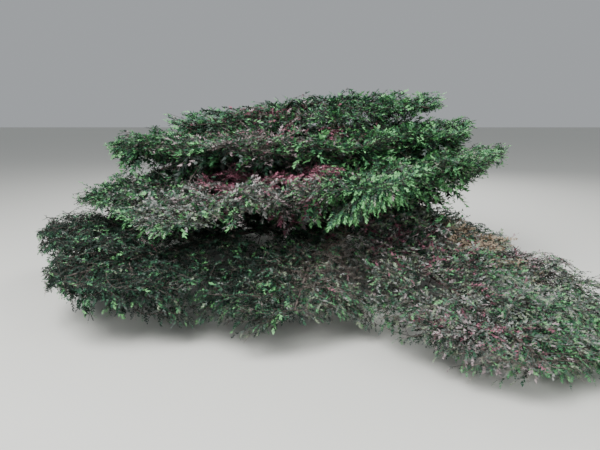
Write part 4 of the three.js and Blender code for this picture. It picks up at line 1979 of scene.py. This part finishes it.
@dataclass
class StemDress:
    """The trunk and the boughs, with the relief of their bark.

    A bough's wall starts inside the trunk, at the share bough_start of its spine. The cracks' pattern
    is read on a round wall of radius trunk_wall or bough_wall, and its power crack_power makes the
    trunk's cracks narrower than the plates between them. plate_height is the share of the trunk's
    height that it is read over, so that the plates are taller than wide, and bough_length the length
    of wall that a bough shows. ridge is the depth of the trunk's cracks in metres, and bough_ridge
    and knot are that of a bough's cracks and the height of its knots as shares of its radius.
    knot_waves are how fast knots follow each other along a bough and around it, and knot_twist is
    how far they turn on the way.
    """

    trunk_rings: int = 150
    trunk_sides: int = 96
    trunk_wall: float = 0.1
    plate_height: float = 0.6
    crack_power: float = 0.7
    ridge: float = 0.004
    bough_rings: int = 48
    bough_sides: int = 18
    bough_start: float = 0.02
    bough_wall: float = 0.1
    bough_length: float = 0.9
    bough_ridge: float = 0.06
    knot: float = 0.03
    knot_waves: tuple[float, float] = (31.0, 2.0)
    knot_twist: float = 9.0

    def build(self, finishes: "Finishes") -> None:
        """Makes the trunk and each storey's boughs.

        Args:
            finishes: the shared materials.
        """
        trunk = self._trunk().make("trunk_bark", [finishes.bark], is_smooth=True)
        hand_over(trunk, ["trunk"])
        for storey in STOREYS[1:]:
            fans = fans_of(storey)
            boughs = Shape.join([self._bough(fan) for fan in fans])
            piece = boughs.make(f"{storey.name}_boughs_bark", [finishes.bark], is_smooth=True)
            hand_over(piece, [f"{storey.name}_bough_{fan.index + 1}" for fan in fans])

    def _trunk(self) -> Shape:
        """The trunk.

        Its radius is a straight taper, plus a flare that fades with height and swells into root
        buttresses, less the depth of the cracks between the bark's plates.

        Returns:
            The trunk.
        """
        height = TRUNK_HEIGHT * np.linspace(0, 1, self.trunk_rings)
        angle = np.linspace(0, FULL_TURN, self.trunk_sides, endpoint=False)
        fade = np.exp(-height / FLARE_HEIGHT)[:, None]
        taper = TRUNK_RADIUS + (TRUNK_TIP_RADIUS - TRUNK_RADIUS) * height / TRUNK_HEIGHT
        radius = taper[:, None] + (TRUNK_FLARE_RADIUS - TRUNK_RADIUS) * fade
        azimuth = math.pi - angle  # a ring of the sweep starts at -X and turns by +Y
        radius = radius * (1 + FLARE_LOBE_SHARE * np.cos(FLARE_LOBES * azimuth) * fade)
        wall = on_wall(angle, height * self.plate_height, self.trunk_wall)
        crack = np.abs(TRUNK_CRACKS.at(wall)) ** self.crack_power
        radius = radius - self.ridge * (1 - crack)
        return sweep(trunk_axis(height)[None], radius[None], self.trunk_sides, reference=BACK)

    def _bough(self, fan: Fan) -> Shape:
        """One bough.

        Its radius is that of the spine, a little larger at knots and smaller in the bark's cracks.

        Args:
            fan: the fan that it carries.

        Returns:
            The bough, from inside the trunk to the start of its fan.
        """
        places, radius = fan.spine_part(self.bough_start, fan.cut, self.bough_rings)
        angle = np.linspace(0, FULL_TURN, self.bough_sides, endpoint=False)
        share = np.linspace(0, 1, self.bough_rings)
        along, turns = self.knot_waves
        turned = angle * turns + share[:, None] * self.knot_twist
        knots = np.sin(share[:, None] * along + fan.seed) * np.cos(turned)
        wall = on_wall(angle, share * self.bough_length, self.bough_wall)
        crack = np.abs(Patches(BOUGH_CRACK_SCALE, fan.seed).at(wall))
        relief = 1 + self.knot * knots - self.bough_ridge * (1 - crack)
        return sweep(places[None], (radius[:, None] * relief)[None], self.bough_sides)


class Finishes:
    """The materials that several pieces share."""

    def __init__(self) -> None:
        """Makes them all."""
        shoot = TwigFinish("shoots", (60, 56, 48), (90, 86, 70))
        twig = TwigFinish("twigs", (58, 50, 47), (96, 86, 80))
        dead = TwigFinish("dead_wood", (84, 76, 70), (150, 140, 132))
        self.needles = [tint.value.make() for tint in TINTS] + [shoot.make()]
        self.twigs = [twig.make(), dead.make()]
        self.bark = BarkFinish("bark").make()


@dataclass(frozen=True)
class Lamp:
    """A soft square light: its name, place, power in watts, side length and what it faces."""

    name: str
    place: tuple[float, float, float]
    power: float
    side: float = 5.0
    aim: tuple[float, float, float] = (0.0, 0.0, 0.7)

    def build(self) -> None:
        """Hangs the light in its place, turned so that it looks at its aim."""
        light = bpy.data.lights.new(self.name, "AREA")
        light.size = self.side
        light.energy = self.power
        lamp = bpy.data.objects.new(self.name, light)
        lamp.location = self.place
        way = np.array(self.aim) - np.array(self.place)
        flat = math.hypot(way[0], way[1])
        lamp.rotation_euler = (math.atan2(flat, -way[2]), 0, math.atan2(way[1], way[0]) - math.pi / 2)
        bpy.context.scene.collection.objects.link(lamp)


@dataclass(frozen=True)
class Studio:
    """A pale floor, soft lights and the camera at the photograph's viewing angle.

    eye is the camera's place and pitch how many degrees it looks down. focal_pixels and frame_pixels
    are its focal length and the picture's width, sensor is its sensor's width in millimetres, far
    how far it sees, and floor_size half the floor's side.
    """

    eye: tuple[float, float, float] = (-0.32, -5.0, 1.6)
    pitch: float = 13.2
    focal_pixels: float = 468.0
    frame_pixels: float = 600.0
    sensor: float = 36.0
    far: float = 200.0
    floor_size: float = 60.0
    floor_colour: tuple[float, float, float] = (214, 214, 208)
    floor_roughness: float = 0.9
    sky: tuple[float, float, float, float] = (0.86, 0.9, 0.94, 1)
    sky_strength: float = 0.45
    lamps: tuple[Lamp, ...] = (
        Lamp("key", (-3.0, -4.5, 7.0), 1150),
        Lamp("fill", (5.5, -5.0, 4.5), 240),
        Lamp("back", (1.5, 6.0, 5.5), 420),
    )

    def build(self) -> None:
        """Makes the floor, the lights, the sky and the camera."""
        self._floor()
        for lamp in self.lamps:
            lamp.build()
        world = bpy.data.worlds.new("sky")
        bpy.context.scene.world = world
        world.use_nodes = True
        sky = world.node_tree.nodes["Background"]
        sky.inputs["Color"].default_value = self.sky
        sky.inputs["Strength"].default_value = self.sky_strength
        camera = bpy.data.cameras.new("camera")
        camera.sensor_width = self.sensor
        camera.lens = self.focal_pixels / self.frame_pixels * self.sensor
        camera.clip_end = self.far
        holder = bpy.data.objects.new("camera", camera)
        holder.location = self.eye
        holder.rotation_euler = (math.radians(90 - self.pitch), 0, 0)
        bpy.context.scene.collection.objects.link(holder)
        bpy.context.scene.camera = holder

    def _floor(self) -> None:
        """A large level sheet at ground level."""
        half = self.floor_size
        points = np.array(((-half, -half, 0), (half, -half, 0), (half, half, 0), (-half, half, 0)), float)
        faces = np.array(((0, 1, 2), (0, 2, 3)))
        pale = PlainFinish("pale_floor", self.floor_colour, self.floor_roughness).make()
        Shape(points, faces, np.zeros(2, int)).make("floor", [pale], is_smooth=False)


def main() -> None:
    """Builds the sub-assemblies in order."""
    logging.basicConfig(level=logging.INFO, format="%(name)s: %(message)s")
    finishes = Finishes()
    StemDress().build(finishes)
    for storey in STOREYS:
        FoliageDress(storey).build(finishes)
    Studio().build()


if __name__ == "__main__":
    main()
